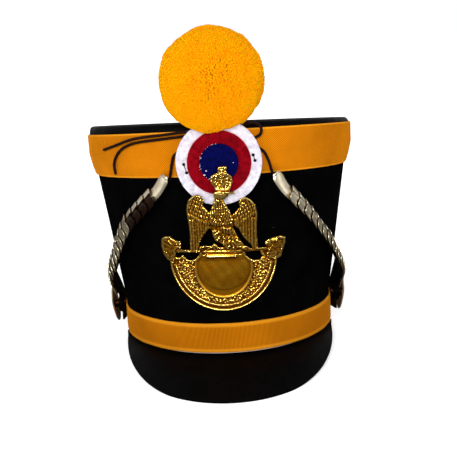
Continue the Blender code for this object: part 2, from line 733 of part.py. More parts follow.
bead = arc(BEAD_RADIUS, 184, 356, 19) + arc(BEAD_RADIUS - 1.2 * MM, 356, 184, 19)

PLATE_LAYERS = (
    # outline, thickness in millimetres
    (rim, 2.2),
    (bead, 1.9),
    (BAR, 2.6),
    (LEDGE, 2.2),
    (BEAST_LEFT, 3.2),
    (BEAST_RIGHT, 3.2),
    (WING_LEFT, 2.4),
    (WING_RIGHT, 2.4),
    (BODY, 3.6),
    (FOOT, 3.0),
    (CLAW, 3.0),
    (HEAD, 3.4),
    (EAGLE_CROWN, 2.8),
)


def on_plate(point):
    """Where a point of the flat plate goes when the plate is bent and set on the hat."""
    turned_point = Matrix.Rotation(math.radians(-PLATE_TILT), 4, "Z") @ Vector(
        (point.x, point.y, 0)
    )
    x = turned_point.x + PLATE_CENTRE.x
    z = turned_point.y + PLATE_CENTRE.z
    bend = math.asin(x / (PLATE_BEND_RADIUS + 20 * MM))
    front = between(PLATE_STANDOFF, z)
    radius = PLATE_BEND_RADIUS + point.z
    y = -front + PLATE_BEND_RADIUS - radius * math.cos(bend * 1.2)
    return Vector((x, y, z))


plate_mesh = plate_shape((crescent, MOON_LEFT, MOON_RIGHT), PLATE_THICKNESS)
plate = add_piece("plate", plate_mesh, BRASS)
layers = []
for number, (outline, thickness) in enumerate(PLATE_LAYERS):
    layer_mesh = plate_shape((outline,), thickness * MM)
    layer = add_piece(f"plate_layer_{number}", layer_mesh, BRASS, to=cutters)
    cut(plate, layer, "UNION")
    layers.append(layer)
plate_mesh = baked(plate)
bmesh.ops.dissolve_limit(
    plate_mesh, angle_limit=math.radians(0.5), verts=plate_mesh.verts, edges=plate_mesh.edges
)
for layer in layers:
    bpy.data.objects.remove(layer)
for x in range(-42, 43, 12):
    geometry = [*plate_mesh.verts, *plate_mesh.edges, *plate_mesh.faces]
    bmesh.ops.bisect_plane(plate_mesh, geom=geometry, plane_co=(x * MM, 0, 0), plane_no=(1, 0, 0))
for height, _ in PLATE_STANDOFF[1:3]:
    geometry = [*plate_mesh.verts, *plate_mesh.edges, *plate_mesh.faces]
    level = (0, height - PLATE_CENTRE.z, 0)
    bmesh.ops.bisect_plane(plate_mesh, geom=geometry, plane_co=level, plane_no=(0, 1, 0))
bmesh.ops.triangulate(plate_mesh, faces=plate_mesh.faces)
for vert in plate_mesh.verts:
    vert.co = on_plate(vert.co)
bmesh.ops.recalc_face_normals(plate_mesh, faces=plate_mesh.faces)
add_piece("plate", plate_mesh, BRASS)


# Pompom: locks of wool fused to a round head, hollowed underneath where it sits on the hat

head_mesh = bmesh.new()
bmesh.ops.create_icosphere(head_mesh, subdivisions=2, radius=POMPOM_RADIUS * 0.9)
pompom = add_piece("pompom", head_mesh, WOOL, Matrix.Translation(POMPOM_CENTRE))
locks_mesh = bmesh.new()
golden_turn = math.pi * (3 - math.sqrt(5))
for number in range(POMPOM_LOCKS):
    level = 1 - 2 * (number + 0.5) / POMPOM_LOCKS
    level_radius = math.sqrt(1 - level**2)
    turn = golden_turn * number
    direction = Vector((level_radius * math.cos(turn), level_radius * math.sin(turn), level))
    place = Matrix.Translation(direction * (POMPOM_RADIUS - LOCK_RADIUS * 0.9))
    spin = Matrix.Rotation(number, 4, direction)
    bmesh.ops.create_icosphere(
        locks_mesh, subdivisions=1, radius=LOCK_RADIUS, matrix=place @ spin
    )
locks = add_piece("locks", locks_mesh, WOOL, Matrix.Translation(POMPOM_CENTRE), to=cutters)
cut(pompom, locks, "UNION")
pompom.modifiers["locks"].use_self = True

seat_profile = (
    (UPPER_BAND_RADIUS + GAP, UPPER_BAND_BOTTOM),
    (UPPER_BAND_RADIUS + GAP, UPPER_BAND_TOP + 2 * GAP),
    (SKIRT_RADIUS, HAT_HEIGHT - MM),
    (SKIRT_RADIUS - 3 * MM, HAT_HEIGHT + 2 * GAP),
    (SKIRT_RADIUS - 8 * MM, HAT_HEIGHT),
    (DISH_RADIUS, DISH_HEIGHT + 2 * MM),
)
seat_mesh = oval_tube(round_rows(seat_profile), closed_top=True, closed_bottom=True)
cut(pompom, add_piece("seat_cutter", seat_mesh, WOOL, to=cutters))

slot_mesh = bmesh.new()
slot_depth = 14 * MM
bmesh.ops.create_cone(
    slot_mesh,
    cap_ends=True,
    segments=48,
    radius1=COCKADE_RINGS[0][1] + 0.7 * MM,
    radius2=COCKADE_RINGS[0][1] + 0.7 * MM,
    depth=slot_depth,
    matrix=Matrix.Translation((0, 0, COCKADE_RINGS[1][3] + 2 * GAP - slot_depth / 2)),
)
cut(pompom, add_piece("cockade_cutter", slot_mesh, WOOL, cockade_place, to=cutters))


def rod(radius, bottom, top):
    """An upright rod that leans as the cockade does, in the space behind it."""
    bm = bmesh.new()
    bmesh.ops.create_cone(
        bm, cap_ends=True, segments=12, radius1=radius, radius2=radius, depth=top - bottom
    )
    behind = COCKADE_CENTRE.y + STEM_RADIUS + 2 * GAP
    base = Vector((POMPOM_CENTRE.x, behind, COCKADE_CENTRE.z))
    lean = Matrix.Rotation(math.radians(COCKADE_TILT), 4, "X")
    middle = Matrix.Translation((0, 0, (bottom + top) / 2 - COCKADE_CENTRE.z))
    return bm, Matrix.Translation(base) @ lean @ middle


stem_mesh, stem_place = rod(STEM_RADIUS, STEM_BOTTOM, STEM_TOP)
add_piece("pompom_stem", stem_mesh, PALE_BRASS, stem_place)
bore_mesh, bore_place = rod(STEM_RADIUS + GAP, STEM_BOTTOM, STEM_TOP + MM)
cut(pompom, add_piece("stem_cutter", bore_mesh, WOOL, bore_place, to=cutters))
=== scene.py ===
import math
import random

import bmesh
import bpy
import numpy as np
from mathutils import Matrix, Vector, noise


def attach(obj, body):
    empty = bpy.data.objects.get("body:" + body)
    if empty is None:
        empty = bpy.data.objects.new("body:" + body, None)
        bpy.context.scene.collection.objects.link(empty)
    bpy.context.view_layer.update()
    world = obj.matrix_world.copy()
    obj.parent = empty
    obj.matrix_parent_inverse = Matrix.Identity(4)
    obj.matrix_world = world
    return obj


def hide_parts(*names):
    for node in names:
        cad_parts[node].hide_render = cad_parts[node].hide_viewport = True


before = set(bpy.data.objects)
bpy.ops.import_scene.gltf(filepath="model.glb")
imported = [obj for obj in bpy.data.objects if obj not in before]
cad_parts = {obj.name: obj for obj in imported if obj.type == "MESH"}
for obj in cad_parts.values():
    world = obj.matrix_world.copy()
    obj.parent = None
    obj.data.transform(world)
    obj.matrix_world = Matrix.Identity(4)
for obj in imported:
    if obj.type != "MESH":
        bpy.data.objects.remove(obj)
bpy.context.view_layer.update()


# The hat stands on a plain white table and is seen from straight in front, just above the table.
# It rests on the front of its peak and the back of its bottom edge, so it leans back. Every piece
# is made upright, with its front at -Y, and then leaned by hat_lean.

HEAD_HALF_LENGTH = 0.1065
PEAK_REACH = 0.0467
PEAK_DROP = 0.0268
BALANCE = 0.0086  # brings the middle of the leaning hat over the origin
hat_lean = math.atan2(PEAK_DROP, 2 * HEAD_HALF_LENGTH + PEAK_REACH)
hat_foot = (0, BALANCE, HEAD_HALF_LENGTH * math.sin(hat_lean))
hat = Matrix.Translation(hat_foot) @ Matrix.Rotation(-hat_lean, 4, "X")

CAMERA_SPOT = Vector((0.0039, -0.75842, 0.21124))
CAMERA_AIM = Vector((0.0039, 0, 0.0903))
camera_roll = math.radians(3.03)
FOCAL_LENGTH_PX = 814
PHOTO_WIDTH_PX = 457
ahead = (CAMERA_AIM - CAMERA_SPOT).normalized()
level = Vector((1, 0, 0))
upright = level.cross(ahead)
camera_x = math.cos(camera_roll) * level - math.sin(camera_roll) * upright
camera_y = math.sin(camera_roll) * level + math.cos(camera_roll) * upright
lens = bpy.data.cameras.new("camera")
lens.sensor_fit = "HORIZONTAL"
lens.sensor_width = 36
lens.lens = 36 * FOCAL_LENGTH_PX / PHOTO_WIDTH_PX
camera = bpy.data.objects.new("camera", lens)
camera_turn = Matrix((camera_x, camera_y, -ahead)).transposed().to_4x4()
camera.matrix_world = hat @ Matrix.Translation(CAMERA_SPOT) @ camera_turn
bpy.context.scene.collection.objects.link(camera)
bpy.context.scene.camera = camera
bpy.context.scene.view_settings.view_transform = "Standard"


def node(tree, kind, inputs=None, **settings):
    """A new shader node. Each input is a value, or another node's output to link to it."""
    made = tree.nodes.new("ShaderNode" + kind)
    for name, value in settings.items():
        setattr(made, name, value)
    for socket, value in (inputs or {}).items():
        if isinstance(value, bpy.types.NodeSocket):
            tree.links.new(value, made.inputs[socket])
        else:
            made.inputs[socket].default_value = value
    return made


def ramp(tree, factor, *stops):
    """Colours or greys that follow a factor. A stop is a place and a colour."""
    made = node(tree, "ValToRGB", {0: factor})
    while len(made.color_ramp.elements) < len(stops):
        made.color_ramp.elements.new(0.5)
    for element, (place, color) in zip(made.color_ramp.elements, stops):
        element.position = place
        element.color = (*color, 1) if hasattr(color, "__len__") else (color, color, color, 1)
    return made.outputs[0]


def cloudy(tree, scale, detail=2.0, roughness=0.5, distortion=0.0):
    """An uneven pattern from 0 to 1, which stays fixed to the piece."""
    settings = {"Scale": scale, "Detail": detail, "Roughness": roughness, "Distortion": distortion}
    place = node(tree, "TexCoord").outputs["Object"]
    return node(tree, "TexNoise", {"Vector": place, **settings}).outputs[0]


def blend(tree, share, first, color):
    """A colour that goes over to a plain one as the share goes to 1."""
    return node(tree, "Mix", {0: share, 6: first, 7: (*color, 1)}, data_type="RGBA").outputs[2]


def paint(tree, shader, color):
    """Gives the shader its colour."""
    tree.links.new(color, shader.inputs["Base Color"])


def material(name, **sockets):
    """A new material. sockets set its shader's inputs, with underscores for spaces."""
    made = bpy.data.materials.new(name)
    made.use_nodes = True
    shader = made.node_tree.nodes["Principled BSDF"]
    for socket, value in sockets.items():
        shader.inputs[socket.replace("_", " ")].default_value = value
    return made, made.node_tree, shader


def softbox(name, place, size, power):
    """A white area light, turned to the middle of the hat."""
    lamp = bpy.data.lights.new(name, "AREA")
    lamp.shape = "RECTANGLE"
    lamp.size, lamp.size_y = size
    lamp.energy = power
    made = bpy.data.objects.new(name, lamp)
    turn = (Vector(place) - Vector((0, 0, 0.13))).to_track_quat("Z", "Y")
    made.matrix_world = Matrix.Translation(place) @ turn.to_matrix().to_4x4()
    bpy.context.scene.collection.objects.link(made)


softbox("key_light", (-0.16, -1.15, 0.72), (0.34, 0.34), 8.3)
softbox("front_light", (0.05, -1.5, 0.32), (1.0, 0.6), 1.9)
softbox("left_glint", (-0.55, -0.95, 0.30), (0.12, 0.12), 2.3)
softbox("right_glint", (0.50, -0.95, 0.42), (0.12, 0.12), 2.3)
softbox("left_light", (-1.2, -0.35, 0.55), (0.5, 0.9), 2.2)
softbox("right_light", (1.2, -0.45, 0.55), (0.5, 0.9), 2.4)
softbox("top_light", (0, 0.1, 1.5), (0.9, 0.9), 4.0)

# The backdrop is white to look at. Behind the camera the room is dark, as the brass shows it.
world = bpy.data.worlds.new("studio")
world.use_nodes = True
sky = world.node_tree
around = node(sky, "SeparateXYZ", {0: node(sky, "TexCoord").outputs["Generated"]})
behind = node(sky, "MapRange", {0: around.outputs[1], 1: -1.0, 2: 1.0}).outputs[0]
room = ramp(sky, behind, (0.0, (0.05, 0.045, 0.04)), (0.35, (0.11, 0.105, 0.10)), (0.75, 0.60))
seen = node(sky, "LightPath").outputs["Is Camera Ray"]
backdrop = blend(sky, seen, room, (1, 1, 1))
sky.links.new(backdrop, sky.nodes["Background"].inputs["Color"])
bpy.context.scene.world = world

# The table is white paper. It glows a little, so that it stays white away from the hat's shadow,
# and it is dark in the gloss of the hat.
table_mesh = bmesh.new()
bmesh.ops.create_grid(table_mesh, x_segments=1, y_segments=1, size=6)
table_data = bpy.data.meshes.new("table_top")
table_mesh.to_mesh(table_data)
table_mesh.free()
table_top = bpy.data.objects.new("table_top", table_data)
bpy.context.scene.collection.objects.link(table_top)
table_white, tree, shader = material("table_white", Roughness=0.8)
pale = ramp(tree, cloudy(tree, 40.0), (0.3, 0.90), (0.7, 0.93))
rays = node(tree, "LightPath")
paint(tree, shader, blend(tree, rays.outputs["Is Glossy Ray"], pale, (0.10, 0.09, 0.085)))
shader.inputs["Emission Color"].default_value = (1, 1, 1, 1)
spot = node(tree, "TexCoord").outputs["Object"]
away = node(tree, "VectorMath", {0: spot}, operation="LENGTH").outputs["Value"]
lit = ramp(tree, away, (0.16, 0.55), (0.9, 1.0))
glow = node(tree, "Math", {0: lit, 1: rays.outputs["Is Camera Ray"]}, operation="MULTIPLY")
tree.links.new(glow.outputs[0], shader.inputs["Emission Strength"])
table_data.materials.append(table_white)


# Laces: one round waxed bootlace, dark brown, braided of fine strands. It ties the two tongues
# together behind the cockade, and leaves one bow and two loose ends over the upper band.

LACE_RADIUS = 0.0012
LACE_RING = 0.0007  # between two rings of the lace's mesh
BRAID_LAY = 0.0085  # over which a strand winds once round the lace
LACES = {
    # each row is azimuth from the front, height and standoff from the felt, in mm
    "lace_left": (
        (-20.9, 144, 2.9), (-19.9, 149, 4.1), (-18.5, 157.3, 5.6), (-17, 164.2, 5.6),
        (-12.5, 169, 5.6), (-8, 171, 5.6), (-3.6, 171.8, 5.6),
    ),
    "lace_right": (
        (21.6, 142, 2.9), (20.2, 147.6, 4.0), (18.4, 156.4, 5.6), (16, 164.5, 5.6),
        (11, 168.6, 5.6), (5.5, 170.8, 5.6), (0.3, 171.4, 5.6),
    ),
    "lace_loop": (
        (0.4, 178.6, 5.6), (4.3, 182.8, 5.8), (6.5, 183.7, 6.0), (12.5, 186, 6.1),
        (15.1, 183.9, 6.2), (15.9, 179.9, 6.2), (14.9, 176, 6.1), (11.9, 174, 6.0),
        (8.5, 175.8, 5.8), (5.5, 175.9, 5.7), (0.4, 174.9, 5.6),
    ),
    "lace_tail_a": (
        (-3.8, 179.4, 5.7), (-7.5, 181, 5.7), (-11.3, 181.6, 5.7), (-20.4, 180.2, 5.7),
        (-31.4, 178.6, 5.7), (-37.5, 176.6, 5.7), (-45.2, 172.7, 5.7), (-53.2, 169.5, 5.7),
    ),
    "lace_tail_b": (
        (-3.8, 175.6, 5.7), (-7.5, 177.4, 5.7), (-11.3, 178.4, 5.7), (-20.4, 177, 5.7),
        (-31.4, 175.2, 5.7), (-37.5, 172.8, 5.7), (-41.7, 169, 5.7), (-45, 163.4, 5.5),
        (-47.5, 156.9, 5.0), (-48.1, 148.7, 4.2),
    ),
}


HEAD_HALF_WIDTH = 0.0952
TOP_RADIUS = 0.1163
FLARE_START = 0.025
FLARE_END = 0.165
HAT_HEIGHT = 0.1876
TOP_DROP = 0.006  # the top sits this much lower at the back than at the front


def wall(height):
    """Half the width and half the length of the felt's outside at this height."""
    flare = min(1, max(0, (height - FLARE_START) / (FLARE_END - FLARE_START)))
    return (
        HEAD_HALF_WIDTH + flare * (TOP_RADIUS - HEAD_HALF_WIDTH),
        HEAD_HALF_LENGTH + flare * (TOP_RADIUS - HEAD_HALF_LENGTH),
    )


def slanted(point):
    """A point moved as the top slopes down behind, with everything under it in proportion."""
    slope = TOP_DROP / (2 * TOP_RADIUS * HAT_HEIGHT)
    return Vector((point[0], point[1], point[2] * (1 - slope * point[1])))


def on_wall(azimuth, height, standoff):
    """A point off the felt's outside, at degrees from the front towards +X."""
    half_width, half_length = wall(height)
    turn = math.radians(azimuth)
    x = (half_width + standoff) * math.sin(turn)
    return slanted((x, -(half_length + standoff) * math.cos(turn), height))


def smooth(points, steps=12):
    """Points along a smooth curve through these points."""
    padded = [2 * points[0] - points[1], *points, 2 * points[-1] - points[-2]]
    curve = []
    for a, b, c, d in zip(padded, padded[1:], padded[2:], padded[3:]):
        for step in range(steps):
            t = step / steps
            bend = (2 * a - 5 * b + 4 * c - d) * t**2 + (3 * b - a - 3 * c + d) * t**3
            curve.append((2 * b + (c - a) * t + bend) / 2)
    return [*curve, points[-1]]


def line_length(places):
    """The length of a line of straight steps."""
    return sum((end - start).length for start, end in zip(places, places[1:]))


def spaced(rows, places, distances):
    """The rows at these distances along the line of places, which the rows stand for."""
    along = [0.0]
    for start, end in zip(places, places[1:]):
        along.append(along[-1] + (end - start).length)
    found = []
    for distance in distances:
        index = max(k for k in range(len(along) - 1) if k == 0 or along[k] <= distance)
        share = (distance - along[index]) / (along[index + 1] - along[index])
        found.append(rows[index].lerp(rows[index + 1], share))
    return found


def skin(count, segments, point, closed=False, size=(1, 1), **marks):
    """A sheet wound round on itself. point gives the place of a ring's number at a share of the
    turn, and rings of no radius close to a pole. Marks are numbers that the material reads."""
    bm = bmesh.new()
    bm.loops.layers.uv.new("UVMap")
    rows = count if closed else count - 1
    layers = [(bm.verts.layers.float.new(name), mark) for name, mark in marks.items()]
    bmesh.ops.create_grid(bm, x_segments=segments, y_segments=rows, size=0.5, calc_uvs=True)
    for vert in bm.verts:
        turn = round((vert.co.x + 0.5) * segments) % segments
        number = round((vert.co.y + 0.5) * rows) % count
        vert.co = point(number, turn / segments)
        for layer, mark in layers:
            vert[layer] = mark(number, turn)
    uv = bm.loops.layers.uv.active
    for face in bm.faces:
        for loop in face.loops:
            loop[uv].uv = (loop[uv].uv.x * size[0], loop[uv].uv.y * size[1])
    bmesh.ops.remove_doubles(bm, verts=bm.verts, dist=0.0000002)
    bmesh.ops.recalc_face_normals(bm, faces=bm.faces)
    return bm


def piece(name, bm, made, nodes=(), sharp=None):
    """A piece of this mesh, leaned with the hat, which stands for these nodes of the frame."""
    bmesh.ops.transform(bm, matrix=hat, verts=bm.verts)
    mesh = bpy.data.meshes.new(name)
    bm.to_mesh(mesh)
    bm.free()
    mesh.materials.append(made)
    mesh.shade_smooth()
    if sharp:
        mesh.set_sharp_from_angle(angle=math.radians(sharp))
    obj = bpy.data.objects.new(name, mesh)
    bpy.context.scene.collection.objects.link(obj)
    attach(obj, "root")
    if nodes:
        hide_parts(*nodes)
    return obj


def bumped(tree, shader, height, distance):
    """Sends a height to the shader as relief, which is this many metres deep."""
    made = node(tree, "Bump", {"Height": height, "Distance": distance})
    tree.links.new(made.outputs[0], shader.inputs["Normal"])


lace_brown, tree, shader = material("lace_brown", Roughness=0.6, Specular_IOR_Level=0.12)
strands = node(tree, "TexCoord").outputs["UV"]
twill = node(tree, "Mapping", {"Vector": strands, "Rotation": (0, 0, 0.8)})
fibre = node(tree, "TexWave", {"Vector": twill.outputs[0], "Scale": 600.0, "Distortion": 2.0})
brown = ramp(tree, fibre.outputs[1], (0.2, (0.004, 0.0006, 0.0003)), (0.8, (0.022, 0.004, 0.001)))
paint(tree, shader, brown)
bumped(tree, shader, fibre.outputs[1], 0.00012)


def lace_places(route):
    """The lace's middle line on the hat, as places whose Z runs along it without twist."""
    line = smooth([on_wall(turn, height / 1000, out / 1000) for turn, height, out in route])
    count = math.ceil(line_length(line) / LACE_RING)
    points = spaced(line, line, [line_length(line) * k / count for k in range(count + 1)])
    across = Vector((0, 0, 1))
    places = []
    for k, point in enumerate(points):
        along = (points[min(k + 1, count)] - points[max(k - 1, 0)]).normalized()
        across = (across - along * across.dot(along)).normalized()
        turn = Matrix((across, along.cross(across), along)).transposed().to_4x4()
        places.append(Matrix.Translation(point) @ turn)
    return points, places


def braid_radius(number, share):
    """A braid of eight strands: two sets of ridges that cross as they wind round the core."""
    wind = number * LACE_RING / BRAID_LAY
    right_hand = math.cos(2 * math.pi * (4 * share + wind * 4))
    left_hand = math.cos(2 * math.pi * (4 * share - wind * 4))
    return LACE_RADIUS * (0.92 + 0.08 * max(right_hand, left_hand))


for name, route in LACES.items():
    points, places = lace_places(route)

    def lace_point(number, share):
        radius = braid_radius(number, share) * (0 < number < len(places) - 1)
        turn = share * math.tau
        return places[number] @ Vector((radius * math.cos(turn), radius * math.sin(turn), 0))

    bm = skin(len(places), 16, lace_point, size=(0.0075, line_length(points)))
    lace = piece("braided_" + name, bm, lace_brown, [name])


# Crown: a tube of black fur felt 3 mm thick, blocked oval at the head and round at the top. Its
# nap is short and dull, with a little lint on it.

felt_black, tree, shader = material("felt_black", Roughness=1.0, Specular_IOR_Level=0.012)
place = node(tree, "TexCoord").outputs["Object"]
dull = ramp(tree, cloudy(tree, 45.0, 3.0), (0.3, (0.0004, 0.0004, 0.0006)), (0.7, (0.0014, 0.0014, 0.0017)))
lint_spots = node(tree, "TexVoronoi", {"Vector": place, "Scale": 130.0, "Randomness": 1.0})
lint_mask = ramp(tree, lint_spots.outputs["Distance"], (0.03, 1.0), (0.07, 0.0))
rare_mask = ramp(tree, cloudy(tree, 60.0, 1.0), (0.55, 0.0), (0.62, 0.6))
lint = node(tree, "Math", {0: lint_mask, 1: rare_mask}, operation="MULTIPLY")
paint(tree, shader, blend(tree, lint.outputs[0], dull, (0.12, 0.11, 0.10)))
bumped(tree, shader, cloudy(tree, 900.0, 4.0, 0.7), 0.0006)

FELT_TOP = 0.181
FELT_THICKNESS = 0.003
FELT_ROUNDING = 0.0012
# each row is height and standoff: up the outside, over the top edge, down the inside and back
felt_rows = [
    (0.0, -FELT_ROUNDING),
    *((height, 0.0) for height in np.linspace(FELT_ROUNDING, FELT_TOP - FELT_ROUNDING, 34)),
    (FELT_TOP, -FELT_ROUNDING), (FELT_TOP, -0.0020), (FELT_TOP - FELT_ROUNDING, -FELT_THICKNESS),
    *((height, -FELT_THICKNESS) for height in np.linspace(0.170, 0.010, 12)),
    (FELT_ROUNDING, -FELT_THICKNESS), (0.0, -0.0020),
]


def wobble(share, waves, level):
    """Uneven by -1 to 1, at a share of the turn: more waves make it change faster."""
    turn = share * math.tau
    return noise.noise(Vector((math.cos(turn) * waves, math.sin(turn) * waves, level)))


def felt_point(number, share):
    """The felt's wall, with its nap standing a little unevenly."""
    height, out = felt_rows[number]
    return on_wall(360 * share, height, out - 0.0002 + 0.0001 * wobble(share, 4, height * 30))


bm = skin(len(felt_rows), 192, felt_point, closed=True, size=(0.68, 0.36))
piece("felt_crown", bm, felt_black, ["crown"])


# Crown top: black waxed leather, wetted and pressed into a shallow dish with a rolled rim. Its
# edge is folded down over the felt, under the upper band.

leather_black, tree, shader = material("leather_black", Roughness=0.4, Specular_IOR_Level=0.035)
place = node(tree, "TexCoord").outputs["Object"]
pores = node(tree, "TexVoronoi", {"Vector": place, "Scale": 800.0}, feature="DISTANCE_TO_EDGE")
creases = cloudy(tree, 70.0, 5.0, distortion=0.6)
grain = node(tree, "Math", {0: pores.outputs["Distance"], 1: 0.35}, operation="MINIMUM")
relief = node(tree, "Math", {0: creases, 1: 2.0, 2: grain.outputs[0]}, operation="MULTIPLY_ADD")
tone = ramp(tree, creases, (0.35, (0.0004, 0.0004, 0.0005)), (0.7, (0.0012, 0.0012, 0.0014)))
paint(tree, shader, tone)
gloss = ramp(tree, creases, (0.3, 0.34), (0.7, 0.50))
tree.links.new(gloss, shader.inputs["Roughness"])
bumped(tree, shader, relief.outputs[0], 0.0003)

RIM_ROLL = 0.0145  # the rim has sunk towards +X
top_profile = [
    # radius and height in mm: up the skirt, over the rim and into the dish
    (118.4, 177.5), (118.45, 180), (118.4, 182.6), (118.0, 184.6), (117.2, 186.2), (115.9, 187.3),
    (114.4, 187.6), (112.8, 187.3), (111.2, 186.5), (109.0, 185.0), (106.2, 183.0), (103.0, 181.1),
    (99.0, 180.1), (94.0, 179.8), (85, 179.5), (75, 179.2), (60, 178.9), (45, 178.7), (30, 178.5),
    (15, 178.4), (5, 178.4), (0, 178.4),
]


def top_point(number, share):
    """The dish is a little uneven, and the rim is rolled to one side."""
    radius, height = top_profile[number]
    turn = share * math.tau
    in_dish = radius < 112
    height += 0.5 * wobble(share, radius * 0.03, 0) * in_dish
    on_rim = min(1, max(0, (height - 182.3) / 3))
    height -= RIM_ROLL * radius * math.sin(turn) * on_rim
    return slanted((radius * math.sin(turn) / 1000, -radius * math.cos(turn) / 1000, height / 1000))


bm = skin(len(top_profile), 192, top_point)
if sum(face.normal.z for face in bm.faces) < 0:
    bmesh.ops.reverse_faces(bm, faces=bm.faces)


def thicken(obj, thickness, side, edge=0.0, even=True):
    """Gives a sheet its thickness, in front of it for side 1 and behind for -1, and round edges."""
    solidify = obj.modifiers.new("thickness", "SOLIDIFY")
    solidify.thickness = thickness
    solidify.offset = side
    solidify.use_even_offset = even
    if edge:
        bevel = obj.modifiers.new("edges", "BEVEL")
        bevel.width = edge
        bevel.segments = 2
        bevel.limit_method = "ANGLE"
        bevel.angle_limit = math.radians(50)


leather_top = piece("leather_top", bm, leather_black, ["crown_top"])
thicken(leather_top, 0.0016, -1, 0.0005)


# Upper band: a broad galloon of orange wool, woven like canvas, sewn round the top of the crown.
# Its two selvedges are paler threads.


def braid_material(name, depth):
    """Orange wool: painted shade between the threads, a painted highlight on them, and pale along
    the selvedges. A smaller depth makes the whole wool darker."""
    made, tree, shader = material(name, Roughness=0.95, Specular_IOR_Level=0.06)
    worn = cloudy(tree, 30.0, 4.0)
    crest = node(tree, "Attribute", attribute_name="crest").outputs["Fac"]
    edge = node(tree, "Attribute", attribute_name="selvedge").outputs["Fac"]
    between, side, top = (0.24, 0.05, 0.0005), (0.72, 0.215, 0.001), (0.92, 0.325, 0.002)
    # Painted shade between the threads and a painted highlight on their crests.
    deep = ramp(tree, crest, (0.0, between), (0.6, side), (1.0, top))
    patch = node(tree, "MapRange", {0: worn, 1: 0.3, 2: 0.7, 3: 0.84 * depth, 4: 1.06 * depth})
    both = {0: 1.0, 6: deep, 7: patch.outputs[0]}
    tinted = node(tree, "Mix", both, data_type="RGBA", blend_type="MULTIPLY")
    pale = blend(tree, edge, tinted.outputs[2], (0.88, 0.40, 0.03))
    paint(tree, shader, pale)
    bumped(tree, shader, cloudy(tree, 2600.0), 0.0002)
    return made


orange_canvas = braid_material("orange_canvas", 0.95)
UPPER_BAND_BOTTOM = 0.1462
UPPER_BAND_TOP = 0.1820
BAND_THICKNESS = 0.0011
WEFT_ROWS = 46
WARP_COLUMNS = 944
CANVAS_RELIEF = 0.00022
# height and standoff: the band leans out over the folded leather
BAND_STAND = ((UPPER_BAND_BOTTOM, 0.0015), (0.1532, 0.0028), (0.1642, 0.0037), (UPPER_BAND_TOP, 0.0039))
weft_heights = np.linspace(UPPER_BAND_BOTTOM, UPPER_BAND_TOP, WEFT_ROWS)


def upper_band_point(number, share):
    """Threads that go over and under by turns in front, and three plain rings behind."""
    if number < WEFT_ROWS:
        height = weft_heights[number]
        out = np.interp(height, *zip(*BAND_STAND)) + 0.00012 * wobble(share, 14, height * 60)
        from_edge = min(number, WEFT_ROWS - 1 - number)
        if from_edge == 0:
            out -= 0.00045
        elif from_edge > 1:
            out += CANVAS_RELIEF * (-1) ** (number + round(share * WARP_COLUMNS)) - 0.0001
    else:
        height = (UPPER_BAND_TOP, 0.165, UPPER_BAND_BOTTOM)[number - WEFT_ROWS]
        out = np.interp(height, *zip(*BAND_STAND)) - BAND_THICKNESS
    return on_wall(360 * share, height, out)


bm = skin(
    WEFT_ROWS + 3, WARP_COLUMNS, upper_band_point, closed=True, size=(0.755, 0.04),
    # the marks paint shade between the threads and a highlight on them, and mark the pale selvedges
    crest=lambda ring, turn: 0.5 + 0.5 * (-1) ** (ring + turn) if 1 < ring < WEFT_ROWS - 2 else 0.8,
    selvedge=lambda ring, turn: 0.3 if min(ring, abs(WEFT_ROWS - 1 - ring)) < 2 else 0.0,
)
piece("woven_upper_band", bm, orange_canvas, ["upper_band"])


# Lower band: a narrower galloon of the same wool with fine upright ribs, sewn round the bottom of
# the crown over the peak's seam.

# This band is the same wool painted darker than the upper band, as painted shade.
orange_rib = braid_material("orange_rib", 0.68)
GAP = 0.0003  # between pieces that touch
LOWER_BAND_HEIGHT = 0.025
RIB_ROWS = 14
RIB_COLUMNS = 1120
RIB_RELIEF = 0.00016
rib_heights = np.linspace(GAP, LOWER_BAND_HEIGHT, RIB_ROWS)


def lower_band_point(number, share):
    """Upright ribs in front, and two plain rings behind. Its edges run a little unevenly."""
    if number < RIB_ROWS:
        height = rib_heights[number]
        out = 0.0014 + 0.0002 * wobble(share, 9, height * 40)
        from_edge = min(number, RIB_ROWS - 1 - number)
        if from_edge == 0:
            out -= 0.0003
        elif from_edge > 1:
            out += RIB_RELIEF * (-1) ** round(share * RIB_COLUMNS) - 0.00008
    else:
        height = (LOWER_BAND_HEIGHT, GAP)[number - RIB_ROWS]
        out = GAP
    height += 0.00025 * wobble(share, 5, 7)
    return on_wall(360 * share, max(GAP, height), out)


bm = skin(
    RIB_ROWS + 2, RIB_COLUMNS, lower_band_point, closed=True, size=(0.643, 0.026),
    # the marks paint shade between the ribs and a highlight on them, and mark the pale selvedges
    crest=lambda ring, turn: 0.5 + 0.5 * (-1) ** turn if 1 < ring < RIB_ROWS - 2 else 0.8,
    selvedge=lambda ring, turn: 0.25 if min(ring, abs(RIB_ROWS - 1 - ring)) < 2 else 0.0,
)
piece("ribbed_lower_band", bm, orange_rib, ["lower_band"])


# Peak: thick black leather, cut as a crescent, pressed to a gentle camber and sewn under the
# crown's bottom edge from temple to temple. Its edge is burnished round.

PEAK_THICKNESS = 0.0025
PEAK_SPAN = 78.5  # degrees from the front to a temple
PEAK_FLAT_SPAN = 20  # degrees each side of the front where its rim lies on the table
PEAK_SEAM = 0.003  # how far it goes in under the crown's edge
PEAK_CAMBER = 0.002


